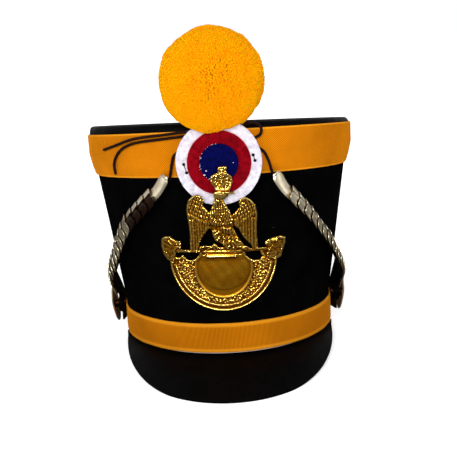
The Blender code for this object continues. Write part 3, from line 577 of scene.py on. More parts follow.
def peak_point(across, out):
    """A point on the peak's underside: across runs -1 to 1 between the temples, out 0 to 1."""
    azimuth = math.radians(across * PEAK_SPAN)
    wide, long = HEAD_HALF_WIDTH - PEAK_SEAM, HEAD_HALF_LENGTH - PEAK_SEAM
    inner = 1 / math.hypot(math.sin(azimuth) / wide, math.cos(azimuth) / long)
    swell = math.cos(across * math.pi / 2)
    width = 0.005 + 0.0437 * swell**2
    radius = inner + out * width
    rim_y = -(inner + width) * math.cos(azimuth)
    off_flat = max(0, abs(across) * PEAK_SPAN - PEAK_FLAT_SPAN) / (PEAK_SPAN - PEAK_FLAT_SPAN)
    start = -GAP - 1.12 * PEAK_THICKNESS
    rim = min(start, (rim_y - HEAD_HALF_LENGTH) * math.tan(hat_lean) * (1 - off_flat**1.4))
    height = start + (rim - start) * out + PEAK_CAMBER * swell * math.sin(out * math.pi) ** 2
    return Vector((radius * math.sin(azimuth), -radius * math.cos(azimuth), height))


bm = bmesh.new()
bmesh.ops.create_grid(bm, x_segments=120, y_segments=16, size=1)
for vert in bm.verts:
    vert.co = peak_point(vert.co.x, (1 - vert.co.y) / 2)
bmesh.ops.recalc_face_normals(bm, faces=bm.faces)
if sum(face.normal.z for face in bm.faces) < 0:
    bmesh.ops.reverse_faces(bm, faces=bm.faces)
leather_peak = piece("leather_peak", bm, leather_black, ["peak"], sharp=50)
thicken(leather_peak, PEAK_THICKNESS, 1, 0.0009)


# Bosses: a domed disc of pale brass on a short hub each side, over the end of the chin strap. The
# rim is rolled and two rings are turned in the dome.

brass_pale, tree, shader = material("brass_pale", Metallic=1.0, Roughness=0.24)
smears = cloudy(tree, 120.0, 5.0, 0.6)
# Marked parts are painted near black: painted shade in grooves, between parts and on the backs, and a
# painted dark reflection on the last left scales.
painted_shade_share = node(tree, "Attribute", attribute_name="painted_shade").outputs["Fac"]
smeared, worn, bright = (0.72, 0.62, 0.42), (0.92, 0.83, 0.62), (0.98, 0.91, 0.72)
clean = ramp(tree, smears, (0.3, smeared), (0.55, worn), (0.8, bright))
paint(tree, shader, blend(tree, painted_shade_share, clean, (0.035, 0.010, 0.005)))
polish = ramp(tree, smears, (0.3, 0.42), (0.7, 0.27))
tree.links.new(polish, shader.inputs["Roughness"])
bumped(tree, shader, cloudy(tree, 1400.0), 0.00004)

BOSS_FOOT = 0.0975  # from the crown's axis, just off the lower band
BOSS_HEIGHT = 0.022
BOSS_TILT = 98.6  # degrees from upright, square to the crown's flare
boss_profile = [
    # radius and height in mm and how dark it is painted, as painted shade: the dome, the rolled
    # # rim, the back and the hub
    (0, 13.0, 0.0), (2.6, 12.9, 0.0), (3.3, 12.5, 0.7), (4.0, 12.85, 0.0), (7.2, 12.45, 0.0),
    (9.8, 11.9, 0.0), (10.5, 11.4, 0.7), (11.2, 11.5, 0.0), (13.6, 10.8, 0.0), (14.6, 10.25, 0.5),
    (15.2, 10.6, 0.0), (16.0, 10.5, 0.0), (16.5, 9.85, 0.0), (16.2, 9.4, 0.3), (15.4, 9.5, 0.9),
    (14.4, 9.9, 1.0), (11.5, 10.7, 1.0), (4.0, 11.4, 1.0), (4.0, 0.0, 1.0), (0.0, 0.0, 1.0),
]


def boss_stand(sign):
    """The place of a boss, on the left for -1 and on the right for 1: Z runs out of the hat."""
    foot = Matrix.Translation((sign * BOSS_FOOT, 0, BOSS_HEIGHT))
    return foot @ Matrix.Rotation(math.radians(sign * BOSS_TILT), 4, "Y")


for side, sign in (("left", -1), ("right", 1)):
    bm = bmesh.new()
    painted_shade = bm.verts.layers.float.new("painted_shade")
    line = [bm.verts.new((radius / 1000, 0, height / 1000)) for radius, height, painted_dark in boss_profile]
    for vert, (radius, height, painted_dark) in zip(line, boss_profile):
        vert[painted_shade] = painted_dark
    edges = [bm.edges.new(pair) for pair in zip(line, line[1:])]
    bmesh.ops.spin(bm, geom=line + edges, axis=(0, 0, 1), angle=math.tau, steps=64, use_merge=True)
    bmesh.ops.remove_doubles(bm, verts=bm.verts, dist=0.00001)
    bmesh.ops.recalc_face_normals(bm, faces=bm.faces)
    bmesh.ops.transform(bm, matrix=boss_stand(sign), verts=bm.verts)
    piece(f"domed_boss_{side}", bm, brass_pale, [f"boss_{side}"], sharp=55)


# Chin straps: a black leather strap from each boss, tied up in front. Seventeen pressed brass
# scales, each with two lobes, overlap along it, and a plain tongue ends it.

CHIN_PATH = (
    # azimuth; height, standoff from the felt and twist on the right; then the same on the left
    (20.4, 147.0, 6.0, 12, 149.0, 6.0, 22), (25.0, 132.5, 5.6, 24, 136.8, 5.6, 22),
    (31.0, 121.8, 5.2, 34, 127.0, 5.6, 22), (38.0, 108.6, 5.0, 39, 116.0, 6.0, 22),
    (45.0, 95.1, 4.8, 40, 104.6, 6.4, 20), (52.0, 83.8, 4.6, 38, 89.8, 6.6, 18),
    (61.0, 69.3, 4.2, 34, 72.8, 6.6, 16), (71.0, 58.5, 3.8, 29, 60.0, 6.0, 14),
    (80.0, 49.0, 3.8, 24, 50.0, 5.2, 12), (87.0, 37.0, 4.0, 18, 37.5, 4.6, 9),
    (90.5, 23.0, 4.2, 12, 23.0, 4.2, 6), (90.5, 6.0, 4.2, 12, 6.0, 4.2, 6),
)
TWIST_ARM = 7  # mm from the strap's middle to the line that it twists about
TONGUE_LENGTH = 0.025
SCALE_COUNT = 17
SCALE_START = 0.028
STRAP_THICKNESS = 0.0018
UNSHADED_SCALES = 13  # the left scales after these are painted dark over most of their width, as a painted dark reflection


def chin_rows(side):
    """The strap's middle line from its end at the boss to the tongue's tip."""
    rows = []
    for azimuth, *both_sides in reversed(CHIN_PATH):
        height, out, twist = both_sides[:3] if side > 0 else both_sides[3:]
        turn = math.radians(twist)
        out += TWIST_ARM * math.sin(turn)
        rows.append(Vector((side * azimuth, height / 1000, out / 1000, -side * turn)))
    return smooth(rows)


def chin_places(side, distances):
    """Places along the strap: X across it, Y towards the tongue and Z out of the hat."""
    rows = chin_rows(side)
    line = [on_wall(*row[:3]) for row in rows]
    places = []
    further_on = spaced(rows, line, [distance + 0.001 for distance in distances])
    for row, next_row in zip(spaced(rows, line, distances), further_on):
        origin = on_wall(*row[:3])
        along = (on_wall(*next_row[:3]) - origin).normalized()
        sideways = on_wall(row[0] + 1, row[1], row[2]) - origin
        upwards = on_wall(row[0], row[1] + 0.001, row[2]) - origin
        out = sideways.cross(upwards).normalized()
        out = (out - along * out.dot(along)).normalized()
        turn = Matrix((along.cross(out), along, out)).transposed().to_4x4()
        places.append(Matrix.Translation(origin) @ turn @ Matrix.Rotation(-row[3], 4, "Y"))
    return places


def strap_width(share):
    """The width of the scales, which narrow from the boss to the tongue."""
    return 0.022 - 0.0065 * share


def scale_shape(bm, place, width, pitch, painted_dark):
    """One scale: its rear edge at Y 0, and two rounded lobes over the next scale's rear."""
    made = bmesh.ops.create_grid(bm, x_segments=28, y_segments=14, size=1)["verts"]
    painted_shade = bm.verts.layers.float["painted_shade"]
    for vert in made:
        across = vert.co.x
        along = (vert.co.y + 1) / 2
        bow = math.sqrt(max(0, 1 - ((abs(across) - 0.5) / 0.5) ** 2))
        edge = pitch + 0.0006 + 0.0036 * bow
        split = math.exp(-((across * width / 0.0016) ** 2))
        height = GAP + 0.0022 * (1 - across**2) + 0.0012 * along * edge / (pitch + 0.0042)
        height += 0.0003 * bow * along - 0.0004 * split * along
        # painted shadow and grime just past the last scale's edge, painted shade along the middle groove,
        # and a painted dark reflection over the last left scales
        below_last = (edge - pitch + 0.0008 - along * edge) / 0.0012
        vert[painted_shade] = min(1.0, max(0.0, below_last) + 0.8 * split + painted_dark * (across > -0.25))
        vert.co = place @ Vector((across * width / 2, along * edge, height))


# The strap's end is folded under the boss into a thick pad, with a hole for the hub.
pad_profile = (
    # radius and height in mm
    (4.6, -1.0), (9.2, -1.0), (9.8, -0.7), (10, 0), (10, 0.7), (9.85, 0.85), (10, 1.0), (10, 2.0),
    (9.7, 2.6), (9.0, 2.8), (4.6, 2.8),
)

STRAP_STEPS = 80
TONGUE_STEPS = 30

for side, sign in (("left", -1), ("right", 1)):
    length = line_length([on_wall(*row[:3]) for row in chin_rows(sign)])
    scales_end = length - TONGUE_LENGTH
    pitch = (scales_end - SCALE_START) / SCALE_COUNT

    # The leather, 2 mm narrower than the scales at each edge, with a hole for the boss's hub.
    bm = bmesh.new()
    bmesh.ops.create_grid(bm, x_segments=6, y_segments=STRAP_STEPS, size=1)
    strap_end = length - 0.009
    strap_places = chin_places(sign, [strap_end * k / STRAP_STEPS for k in range(STRAP_STEPS + 1)])
    for vert in bm.verts:
        along = (vert.co.y + 1) / 2
        half_width = strap_width(min(1, along * strap_end / scales_end)) / 2 - 0.002
        vert.co = strap_places[round(along * STRAP_STEPS)] @ Vector((vert.co.x * half_width, 0, 0))
    to_boss = boss_stand(sign).inverted()
    hub = [vert for vert in bm.verts if (to_boss @ vert.co).xy.length < 0.0043]
    bmesh.ops.delete(bm, geom=hub, context="VERTS")
    nodes = [f"chin_strap_{side}"]
    strap = piece(f"leather_strap_{side}", bm, leather_black, nodes, sharp=50)
    thicken(strap, STRAP_THICKNESS, -1, 0.0004)

    pad_place = chin_places(sign, [0.016])[0]

    def pad_point(number, share):
        radius, height = pad_profile[number]
        turn = share * math.tau
        return pad_place @ (Vector((radius * math.cos(turn), radius * math.sin(turn), height)) * 0.001)

    bm = skin(len(pad_profile), 48, pad_point, closed=True, size=(0.06, 0.02))
    piece(f"folded_pad_{side}", bm, leather_black, sharp=50)

    bm = bmesh.new()
    bm.verts.layers.float.new("painted_shade")
    starts = [SCALE_START + pitch * k for k in range(SCALE_COUNT)]
    for number, place in enumerate(chin_places(sign, starts)):
        # The last left scales get a painted dark reflection.
        painted_dark = 0.97 * (side == "left" and number >= UNSHADED_SCALES)
        scale_shape(bm, place, strap_width(number / (SCALE_COUNT - 1)), pitch, painted_dark)
    names = [f"scale_{side}_{number:02d}" for number in range(1, SCALE_COUNT + 1)]
    scales = piece(f"pressed_scales_{side}", bm, brass_pale, names, sharp=50)
    thicken(scales, 0.0005, 1, 0.00012)

    # The tongue has a round tip, and a line pressed in just inside its edge.
    bm = bmesh.new()
    bmesh.ops.create_grid(bm, x_segments=12, y_segments=TONGUE_STEPS, size=1)
    distances = [scales_end + TONGUE_LENGTH * k / TONGUE_STEPS - 0.001 for k in range(TONGUE_STEPS + 1)]
    tongue_places = chin_places(sign, distances)
    painted_shade = bm.verts.layers.float.new("painted_shade")
    for vert in bm.verts:
        step = round((vert.co.y + 1) / 2 * TONGUE_STEPS)
        to_tip = (TONGUE_STEPS - step) / TONGUE_STEPS * TONGUE_LENGTH
        round_off = min(1, (to_tip + GAP) / 0.0053)
        across = vert.co.x * 0.00525 * math.sqrt(1 - (1 - round_off) ** 2)
        on_line = 0.72 < max(abs(vert.co.x), 1 - to_tip / 0.006) < 0.86
        height = GAP + 0.0008 * (1 - vert.co.x**2) - 0.0003 * on_line
        # the pressed line is painted darker, as painted shade
        vert[painted_shade] = 0.5 * on_line
        vert.co = tongue_places[step] @ Vector((across, 0, height))
    tongue = piece(f"brass_tongue_{side}", bm, brass_pale, [f"tongue_{side}"], sharp=50)
    thicken(tongue, 0.0010, 1, 0.0002)


# Eagle plate: one sheet of brass, stamped in a die and pierced. A crowned eagle stands on a rod
# over a crescent of laurel round a bare field, with a beast's head at each end. It is made as a
# relief on a fine grid, in mm from the plate's middle, and then bent round the felt.

GRID = 0.4
BASE = 1.2  # the level of the flat sheet
CRESCENT_MIDDLE = -6
FIELD_MIDDLE = -14
FIELD_HALF_WIDTH = 22.5
FIELD_HALF_HEIGHT = 23.8
plate_x = np.arange(-52.4, 53.3, GRID)
plate_z = np.arange(-51.2, 72.1, GRID)
X, Z = np.meshgrid(plate_x, plate_z)
relief = np.full(X.shape, BASE)


def arc(radius, start, end, count, centre=(0, CRESCENT_MIDDLE)):
    """Points on an arc, of the crescent or about another centre, between two degrees."""
    turns = [math.radians(start + (end - start) * k / (count - 1)) for k in range(count)]
    return [(centre[0] + radius * math.cos(turn), centre[1] + radius * math.sin(turn)) for turn in turns]


def outside(outline):
    """How far each point of the grid is outside a closed outline, or less than 0 inside it."""
    away = np.full(X.shape, 999.0)
    inside = np.zeros(X.shape, bool)
    for (x, z), (next_x, next_z) in zip(outline, [*outline[1:], outline[0]]):
        wide, high = next_x - x, next_z - z
        share = np.clip(((X - x) * wide + (Z - z) * high) / (wide**2 + high**2), 0, 1)
        away = np.minimum(away, np.hypot(X - x - share * wide, Z - z - share * high))
        if high:
            inside ^= ((z > Z) != (next_z > Z)) & (X < x + (Z - z) * wide / high)
    return np.where(inside, -away, away)


def form(name, level, edge, dome=0.0):
    """Raises one part of the plate to a level, round at its edge and domed towards its middle."""
    inward = -outline_away[name]
    rise = np.sqrt(1 - (1 - np.clip(inward / edge, 0, 1)) ** 2)
    shape = BASE + (level - BASE) * rise + dome * np.clip(inward / 8, 0, 1)
    np.maximum(relief, np.where(inward > 0, shape, 0), out=relief)


def ridge(line, widths, levels, depth=0.6, vein=0.0, within=None):
    """A rounded ridge along a line. Its half widths and levels are spread evenly along it."""
    line = np.array(line, float)
    low, high = line.min(axis=0) - max(widths), line.max(axis=0) + max(widths)
    box = (
        slice(*np.searchsorted(plate_z, (low[1], high[1]))),
        slice(*np.searchsorted(plate_x, (low[0], high[0]))),
    )
    x, z = X[box], Z[box]
    near = np.full(x.shape, 99.0)
    along = np.zeros(x.shape)
    ends = np.cumsum([0, *np.hypot(*np.diff(line, axis=0).T)])
    for start, step, begun, ended in zip(line, np.diff(line, axis=0), ends, ends[1:]):
        share = np.clip(((x - start[0]) * step[0] + (z - start[1]) * step[1]) / (step @ step), 0, 1)
        away = np.hypot(x - start[0] - share * step[0], z - start[1] - share * step[1])
        along = np.where(away < near, (begun + share * (ended - begun)) / ends[-1], along)
        near = np.minimum(near, away)
    width = np.interp(along, np.linspace(0, 1, len(widths)), widths)
    level = np.interp(along, np.linspace(0, 1, len(levels)), levels)
    shape = level - depth * (near / width) ** 2 - vein * (near < 0.3)
    shown = near < width
    if within is not None:
        shown &= within[box]
    relief[box] = np.where(shown, np.maximum(relief[box], shape), relief[box])


def groove(line, width, depth):
    """Cuts a line into the relief."""
    before = relief.copy()
    relief[:] = 0
    ridge(line, (width,), (depth,), depth)
    relief[:] = before - relief


def beads(points, radius, level):
    """A small dome at each point."""
    for x, z in points:
        ridge([(x, z), (x + 0.05, z)], (radius,), (level,), 0.8)


def rows_of(line, count, shift=0.0):
    """Points evenly spaced along a line of points."""
    line = np.array(line, float)
    ends = np.cumsum([0, *np.hypot(*np.diff(line, axis=0).T)])
    places = (np.arange(count) + 0.5 + shift) / count * ends[-1]
    return list(zip(np.interp(places, ends, line[:, 0]), np.interp(places, ends, line[:, 1])))


def mirrored(line):
    """The same line on the other side of the eagle's crown."""
    return [(0.9 - x, z) for x, z in line]


PLATE_OUTLINES = {
    # the moons are the two holes between the crescent and the rod
    "crescent": arc(43.9, 183, 357, 59) + [(37, -6), (36, 0.6), (-39.6, 0.6), (-39.6, -6)],
    "bar": [(-40, -0.4), (-40, 2.4), (36, 2.4), (36, -0.4)],
    "wing_left": [
        (-26.8, 0.5), (-26.4, 16), (-27, 26), (-28.2, 34), (-28, 39), (-26.4, 43.6),
        (-22.8, 47.4), (-18.8, 48.6), (-15.2, 47), (-13.6, 43.2), (-14.6, 39.6), (-11.4, 35.8),
        (-6, 30), (-6, 19), (-11, 19.8), (-15.4, 14.2), (-18.8, 7.6), (-19.6, 0.5),
    ],
    "wing_right": [
        (28.6, 0.6), (27.6, 14), (27.8, 25), (28.4, 31.5), (26.8, 38.6), (23, 43.2),
        (18.8, 45.4), (14.8, 44.2), (13.2, 40.2), (14.4, 37.4), (11.2, 34.4), (8.6, 31.6),
        (5, 31), (5, 20), (9.4, 21.8), (12.4, 19.8), (16.6, 11.8), (22.6, 5.2), (24, 0.6),
    ],
    "body": [
        (-8.4, 22), (-10.2, 27), (-10, 33.6), (-7.4, 39.8), (-5, 45.6), (0.6, 45.8),
        (3, 40.4), (6.6, 34.2), (8.8, 28), (8.4, 21.4), (12, 13.6), (16.6, 6.6), (18.2, 1),
        (4.2, 1), (-1.6, 7.4), (-6.2, 10), (-8.4, 15),
    ],
    "head": [
        (-5.4, 44.6), (-6.6, 47.6), (-5.8, 50.6), (-2, 51.4), (2.6, 50.8), (6.4, 51),
        (10, 50.2), (11, 48.4), (9.4, 48), (7.2, 48.6), (4.6, 46), (2.4, 44.2),
    ],
    "crown": [
        (-4.6, 51.2), (-5.4, 54.6), (-8.4, 59), (-7.8, 63), (-5, 65.2), (-2.2, 65.6),
        (-2.6, 69.4), (-0.4, 70.6), (4.2, 70.8), (5.4, 69.2), (4.4, 67.4), (5.4, 65.2),
        (8.6, 62.8), (9.2, 58.8), (7.8, 54), (6.2, 51),
    ],
    "foot": [
        (-19.4, 1.4), (-19.2, 5.2), (-14.6, 6.6), (-9.2, 6.2), (-6.6, 8.8), (-5.6, 7.2),
        (-3.2, 5), (1.8, 4.6), (4.4, 1.4),
    ],
    "claw": [(15, 1.2), (15.6, 4.4), (18.4, 5.4), (22.6, 2), (22.4, 1.2)],
    "beast_left": [
        (-42.6, -9.4), (-46.2, -7), (-49.4, -2), (-50.6, 4.2), (-50.4, 10), (-47, 13.4),
        (-42.6, 13.6), (-38.4, 10.6), (-33.6, 9.8), (-33.2, 6.4), (-34.6, 2.8),
        (-37.6, 2), (-38.6, -2), (-39, -7),
    ],
    "beast_right": [
        (42.8, -9.6), (47.6, -7.2), (49.2, -1), (51.4, 5), (51.6, 9.4), (46.8, 11.2),
        (40.2, 10.2), (34, 7.6), (33.4, 4.8), (35.4, 2.6), (35.6, -1.4), (37, -4.6), (36.8, -7.4),
    ],
    "moon_left": [
        (-38.6, -0.4), (-39, -4.2), (-36.2, -4.7), (-34.4, -4.0), (-33.4, -2.3), (-32.4, -2.6),
        (-31, -4.6), (-28.6, -6.2), (-25.2, -6.6), (-22, -5), (-19.8, -2.4), (-19.4, -0.4),
    ],
    "moon_right": [
        (17.6, -0.4), (18.4, -3.4), (21.2, -6.2), (25.4, -7.8), (29.4, -7.6), (31.6, -5.6),
        (30.6, -3.4), (29.6, -0.4),
    ],
}
outline_away = {name: outside(outline) for name, outline in PLATE_OUTLINES.items()}
moons_away = np.minimum(outline_away["moon_left"], outline_away["moon_right"])
edge_away = np.maximum(outline_away["crescent"], -moons_away)
for name, away in outline_away.items():
    if name not in ("crescent", "moon_left", "moon_right"):
        edge_away = np.minimum(edge_away, away)

# The crescent: a rolled rim, two fine mouldings and a line of rope, then a branch of laurel up
# each side of the field, with small berries crowded wherever there is room between the leaves.
ridge(arc(43.1, 184, 356, 80), (0.8,), (2.5,), 0.9)
ridge(arc(41.6, 186, 354, 80), (0.45,), (1.6,), 0.3)
ridge(arc(40.5, 187, 353, 80), (0.45,), (1.6,), 0.3)
for start, end in zip(arc(39.7, 188, 352, 70), arc(38.6, 189.5, 353.5, 70)):
    ridge([start, end], (0.6, 0.6), (2.5, 2.6), 0.5)
random.seed(23)
for side in (-1, 1):
    stem = [
        (2 * side, -41.6), (12 * side, -39.4), (21 * side, -34), (27.6 * side, -26.6),
        (31 * side, -18.6), (32 * side, -10.6),
    ]
    ridge(stem, (0.5,), (1.7,), 0.3)
    knots = rows_of(stem, 13)
    for number, (x, z) in enumerate(knots):
        next_x, next_z = knots[min(number + 1, len(knots) - 1)]
        last_x, last_z = knots[max(number - 1, 0)]
        heading = math.atan2(next_z - last_z, next_x - last_x)
        grown = 0.66 + 0.34 * number / (len(knots) - 1)
        for spread, reach in ((0.62, 5.6), (-0.62, 5.2), (1.15, 4.4), (-0.12, 6.4)):
            turn = heading + spread * side + random.uniform(-0.12, 0.12)
            reach *= grown
            tip = (x + reach * math.cos(turn), z + reach * math.sin(turn))
            ridge([(x, z), tip], (0.4, 1.3 * grown, 1.1 * grown, 0.25), (1.6, 2.1, 2.2), 0.5, 0.22)
        if number % 3 == 1:
            turn = heading + side * 1.0
            for reach, offset in ((3.4, 0.5), (3.9, -0.2)):
                spot = (x + reach * math.cos(turn + offset), z + reach * math.sin(turn + offset))
                beads([spot], 0.8, 2.6)
beads([(-2.7, -41.4), (2.4, -41.8), (0, -39.8)], 0.9, 2.6)
berries = []
for _ in range(2500):
    x, z = random.uniform(-38, 38), random.uniform(-44, -8)
    crowded = any(math.dist((x, z), other) < 1.7 for other in berries)
    inside_rope = math.hypot(x, z - CRESCENT_MIDDLE) < 37.2
    off_field = math.hypot(x / FIELD_HALF_WIDTH, (z - FIELD_MIDDLE) / FIELD_HALF_HEIGHT) > 1.1
    if inside_rope and off_field and not crowded:
        berries.append((x, z))
        beads([(x, z)], random.uniform(0.55, 0.8), 2.75)

# The bare field: a smooth, slightly domed and dented oval with a lip, cut off above by the ledge.
oval = np.hypot(X / FIELD_HALF_WIDTH, (Z - FIELD_MIDDLE) / FIELD_HALF_HEIGHT)
under_ledge = Z < -2
dents = 0.10 * np.sin(X * 0.31 + 1.2 * np.sin(Z * 0.2)) * np.sin(Z * 0.27 + 0.8)
dents += 0.05 * np.sin(X * 0.7 + Z * 0.45)
domed = np.hypot(X / 22.0, (Z + 12.5) / 19.5)
smooth_dome = 1.5 + 1.0 * np.clip(1 - domed**2, 0, 1) ** 0.65
smooth_dome += dents * np.clip((1 - domed) * 6, 0, 1) + 0.5 * np.clip((oval - 0.92) / 0.08, 0, 1) ** 2
relief[:] = np.where((oval < 1) & under_ledge, smooth_dome, relief)
lip = np.clip(1 - np.abs(oval - 1.02) * 20, 0, 1)
relief[:] = np.where(under_ledge & (lip > 0), np.maximum(relief, 1.5 + 0.6 * np.sqrt(lip)), relief)

# A rounded lip runs round each half moon, under the rod.
LIP_HALF_WIDTH = 1.2
from_lip = np.abs(moons_away - LIP_HALF_WIDTH)
shape = 1.3 + 0.9 * np.sqrt(np.clip(1 - (from_lip / LIP_HALF_WIDTH) ** 2, 0, 1))
relief[:] = np.where((from_lip < LIP_HALF_WIDTH) & (Z < -0.4), np.maximum(relief, shape), relief)

# The rod, with beads along it, and the ledge under it.
form("bar", 1.9, 1.0)
ridge([(-39, 1.0), (-29.6, 1.0)], (1.4,), (2.3,), 0.7)
beads(rows_of([(-29, 1.1), (-18.6, 1.0)], 5), 1.05, 2.9)
ridge([(-14.6, 0.8), (14.4, 0.8)], (1.5,), (3.0,), 0.9)
beads(rows_of([(26.4, 1.9), (35, 2.2)], 4), 1.05, 2.9)
ridge([(-12.9, -2.0), (9.8, -2.0)], (0.75,), (2.4,), 0.4)
ridge([(-12.9, -3.5), (9.8, -3.5)], (1.1,), (3.0,), 0.9)

# The wings: small feathers over the shoulder, a row of larger ones, then the long flight ones.
COVERTS = {
    "wing_left": [(-26.6, 30.4), (-22.9, 29.2), (-17.9, 26.4), (-13.1, 24.6), (-9.4, 24.0)],
    "wing_right": [(9.6, 23.2), (13.3, 23.6), (17.9, 26.0), (22.6, 29.2), (27.6, 32.0)],
}
FLIGHTS = {
    "wing_left": (-25.7, -23.5, -21.3, -19.2, -17.2, -15.2, -13.2, -11.4),
    "wing_right": (10.6, 12.5, 14.6, 16.8, 19.1, 21.4, 23.8, 26.3),
}
for name in ("wing_left", "wing_right"):
    form(name, 2.0, 1.6, 0.1)
    inside = outline_away[name] < -0.5
    lean = 0.5 if name == "wing_left" else -0.5
    for number, x in enumerate(FLIGHTS[name]):
        level = 2.6 + 0.15 * math.sin(number * 2.3)
        quill = [(x, 27), (x + lean * 0.4, 13), (x + lean * 0.3, 1)]
        ridge(quill, (1.2, 1.15, 0.95), (level,), 0.75, 0.12, inside)
    for layer in range(6, -1, -1):
        count, lift, size = (8, layer * 3.3 + 0.5, 0.82) if layer else (9, 0, 1.0)
        widths = (0.9 * size, 1.25 * size, 1.0 * size, 0.3)
        for x, z in rows_of(COVERTS[name], count, 0.5 * (layer % 2)):
            feather = [(x - lean * 0.9, z + lift + 3.6 * size), (x, z + lift - 0.5)]
            ridge(feather, widths, (2.2, 2.7, 3.1), 0.6, 0.0, inside)
WING_BONES = (
    [(-26.6, 24), (-27.4, 33), (-27, 39), (-25.2, 43.6), (-21.8, 46.8), (-18.6, 47.4), (-15.8, 46)],
    [(27.2, 26), (27.5, 31.6), (25.9, 38.2), (22.3, 42.4), (18.6, 44.4), (15.4, 43.4)],
)
for line in WING_BONES:
    ridge(line, (0.7,), (2.9,), 0.6)
ridge([(10.4, 34.2), (12.6, 36.4), (15, 38.2), (17, 37.2)], (0.8, 1.0, 0.6), (2.9,), 0.6)
ridge([(5.4, 31.6), (7.2, 32.2), (8.6, 32.0)], (0.7, 0.9), (3.0,), 0.6)

# The eagle's body: rows of breast feathers, a smooth belly, two rough thighs and a fan of tail.
form("body", 2.5, 2.6, 0.35)
inside = outline_away["body"] < -0.3
for number, x in enumerate((3.4, 6.8, 10.2, 13.4, 16.2)):
    ridge([(1.2 + number * 1.4, 15.5), (x, 1.2)], (1.1, 1.7), (3.1, 3.3, 2.9), 0.7, 0.15, inside)
for layer in range(11):
    z = 45.2 - layer * 2.15
    half = 3.0 + min(layer, 7) * 0.92
    middle = -2.2 + layer * 0.08
    level = 3.9 if layer in (4, 6) else 3.6
    row = [(middle - half, z + 0.6), (middle, z - 0.4), (middle + half, z + 0.8)]
    for x, z in rows_of(row, max(3, round(half)), 0.5 * (layer % 2)):
        ridge([(x, z + 1.6), (x, z - 0.6)], (0.5, 0.95, 0.5), (3.1, level), 0.5, 0.0, inside)
for number in range(34):
    x, z = -8.4 + (number * 2.9) % 6.6, 18.6 - (number // 2) * 0.66
    if number % 2 == 0 or x < -4:
        ridge([(x - 0.3, z + 1), (x, z - 0.7)], (0.5, 0.85, 0.4), (3.4, 4.0), 0.6, 0.0, inside)
for number in range(14):
    x, z = 1.2 + (number * 2.3) % 6.8, 20.6 - (number * 0.37) % 4.2
    ridge([(x - 0.2, z + 0.8), (x + 0.2, z - 0.8)], (0.5, 0.95, 0.4), (3.5, 4.1), 0.6, 0.0, inside)
for number in range(26):
    x, z = -2.5 + (number * 3.7) % 15, 13.6 - (number * 1.9) % 10.5
    ridge([(x, z + 0.7), (x + 0.3, z - 0.5)], (0.4, 0.75, 0.4), (3.4, 3.8), 0.5, 0.0, inside)

# The feet on the rod.
form("foot", 2.3, 1.2)
toe = [(-7.6, 8.0), (-11, 6.0), (-15, 5.6), (-18.2, 4.2), (-19.0, 2.4)]
ridge(toe, (0.9, 1.2, 1.1, 0.6), (3.5, 3.4, 3.0), 0.8)
ridge([(-6.8, 7.3), (-8.4, 5.0), (-11.4, 3.8), (-13.2, 1.9)], (0.9, 1.1, 0.6), (3.4, 3.2, 2.8), 0.8)
ridge([(-6.2, 7.2), (-4.8, 5.2), (-2.6, 4.0), (-1.6, 2.0)], (0.9, 1.2, 0.7), (3.4, 3.4, 3.0), 0.8)
ridge([(-7, 4.4), (-6.4, 2.2)], (1.5, 1.0), (3.0,), 0.8)
form("claw", 2.4, 1.0)
ridge([(15.6, 3.2), (18, 4.4), (20.6, 3.6), (22.2, 1.8)], (0.9, 1.2, 0.9, 0.6), (3.2, 3.5, 3.0), 0.8)
ridge([(16.6, 2.2), (18.4, 2.0)], (0.8,), (3.1,), 0.6)

# The head, with its brow, eye and beak, and the crown on it with five arches, an orb and a cross.
form("head", 3.5, 2.4, 0.6)
ridge([(-4.4, 46), (-4.6, 49.6), (-1.6, 50.4), (1.6, 49.8)], (1.4, 1.2, 0.9), (3.9,), 0.6)
ridge([(1.8, 50.0), (4.6, 50.0)], (0.5, 0.6), (4.2,), 0.4)
ridge([(4.4, 49.3), (7.6, 50.0), (9.8, 49.6), (10.6, 48.6)], (1.3, 1.0, 0.7, 0.4), (3.9, 3.9, 3.4), 0.7)
groove([(3.0, 46.4), (5.6, 47.8), (8.8, 49.0)], 0.45, 0.7)
beads([(3.5, 48.8)], 0.6, 4.3)
form("crown", 2.5, 1.4)
arches = (
    [(-5.0, 53), (-7.6, 58.4), (-7.0, 62.2), (-3.4, 64.8), (-0.6, 65.2)],
    [(-2.4, 53), (-4.2, 58.4), (-3.6, 62.4), (-1.2, 65)],
)
for line in (*arches, *map(mirrored, arches)):
    ridge(line, (0.95,), (2.9, 3.1, 3.4), 0.6)
    beads(rows_of(line, 6), 0.6, 3.7)
ridge([(0.4, 53), (0.5, 61.6)], (0.9,), (3.2, 3.5), 0.6)
beads(rows_of([(0.4, 53.6), (0.5, 61)], 4), 0.65, 3.9)
for x in (-6.2, -3.5, -1.0, 1.9, 4.4, 7.0):
    ridge([(x, 53.2), (x + (x - 0.4) * 0.08, 56.4)], (0.9, 0.9, 0.3), (2.6, 2.9), 0.5)
ridge(arc(1.9, 0, 360, 25, (0.4, 63.6)), (0.55,), (3.9,), 0.4)
beads([(0.4, 63.6)], 0.7, 3.9)
ridge([(-5.0, 52.2), (0.4, 51.6), (6.2, 52.2)], (1.0,), (3.7,), 0.7)
beads(rows_of([(-4.6, 53.3), (0.4, 52.9), (6, 53.3)], 6), 0.55, 3.6)
beads([(0.7, 67.2)], 1.6, 3.5)
ridge([(-2.2, 68.2), (-0.2, 69.8), (1, 69.4)], (0.9, 0.8), (3.4,), 0.6)
ridge([(4.8, 68.2), (3.2, 69.8), (1, 69.4)], (0.9, 0.8), (3.4,), 0.6)
ridge([(-0.4, 70.2), (4.0, 70.3)], (0.6,), (3.2,), 0.5)

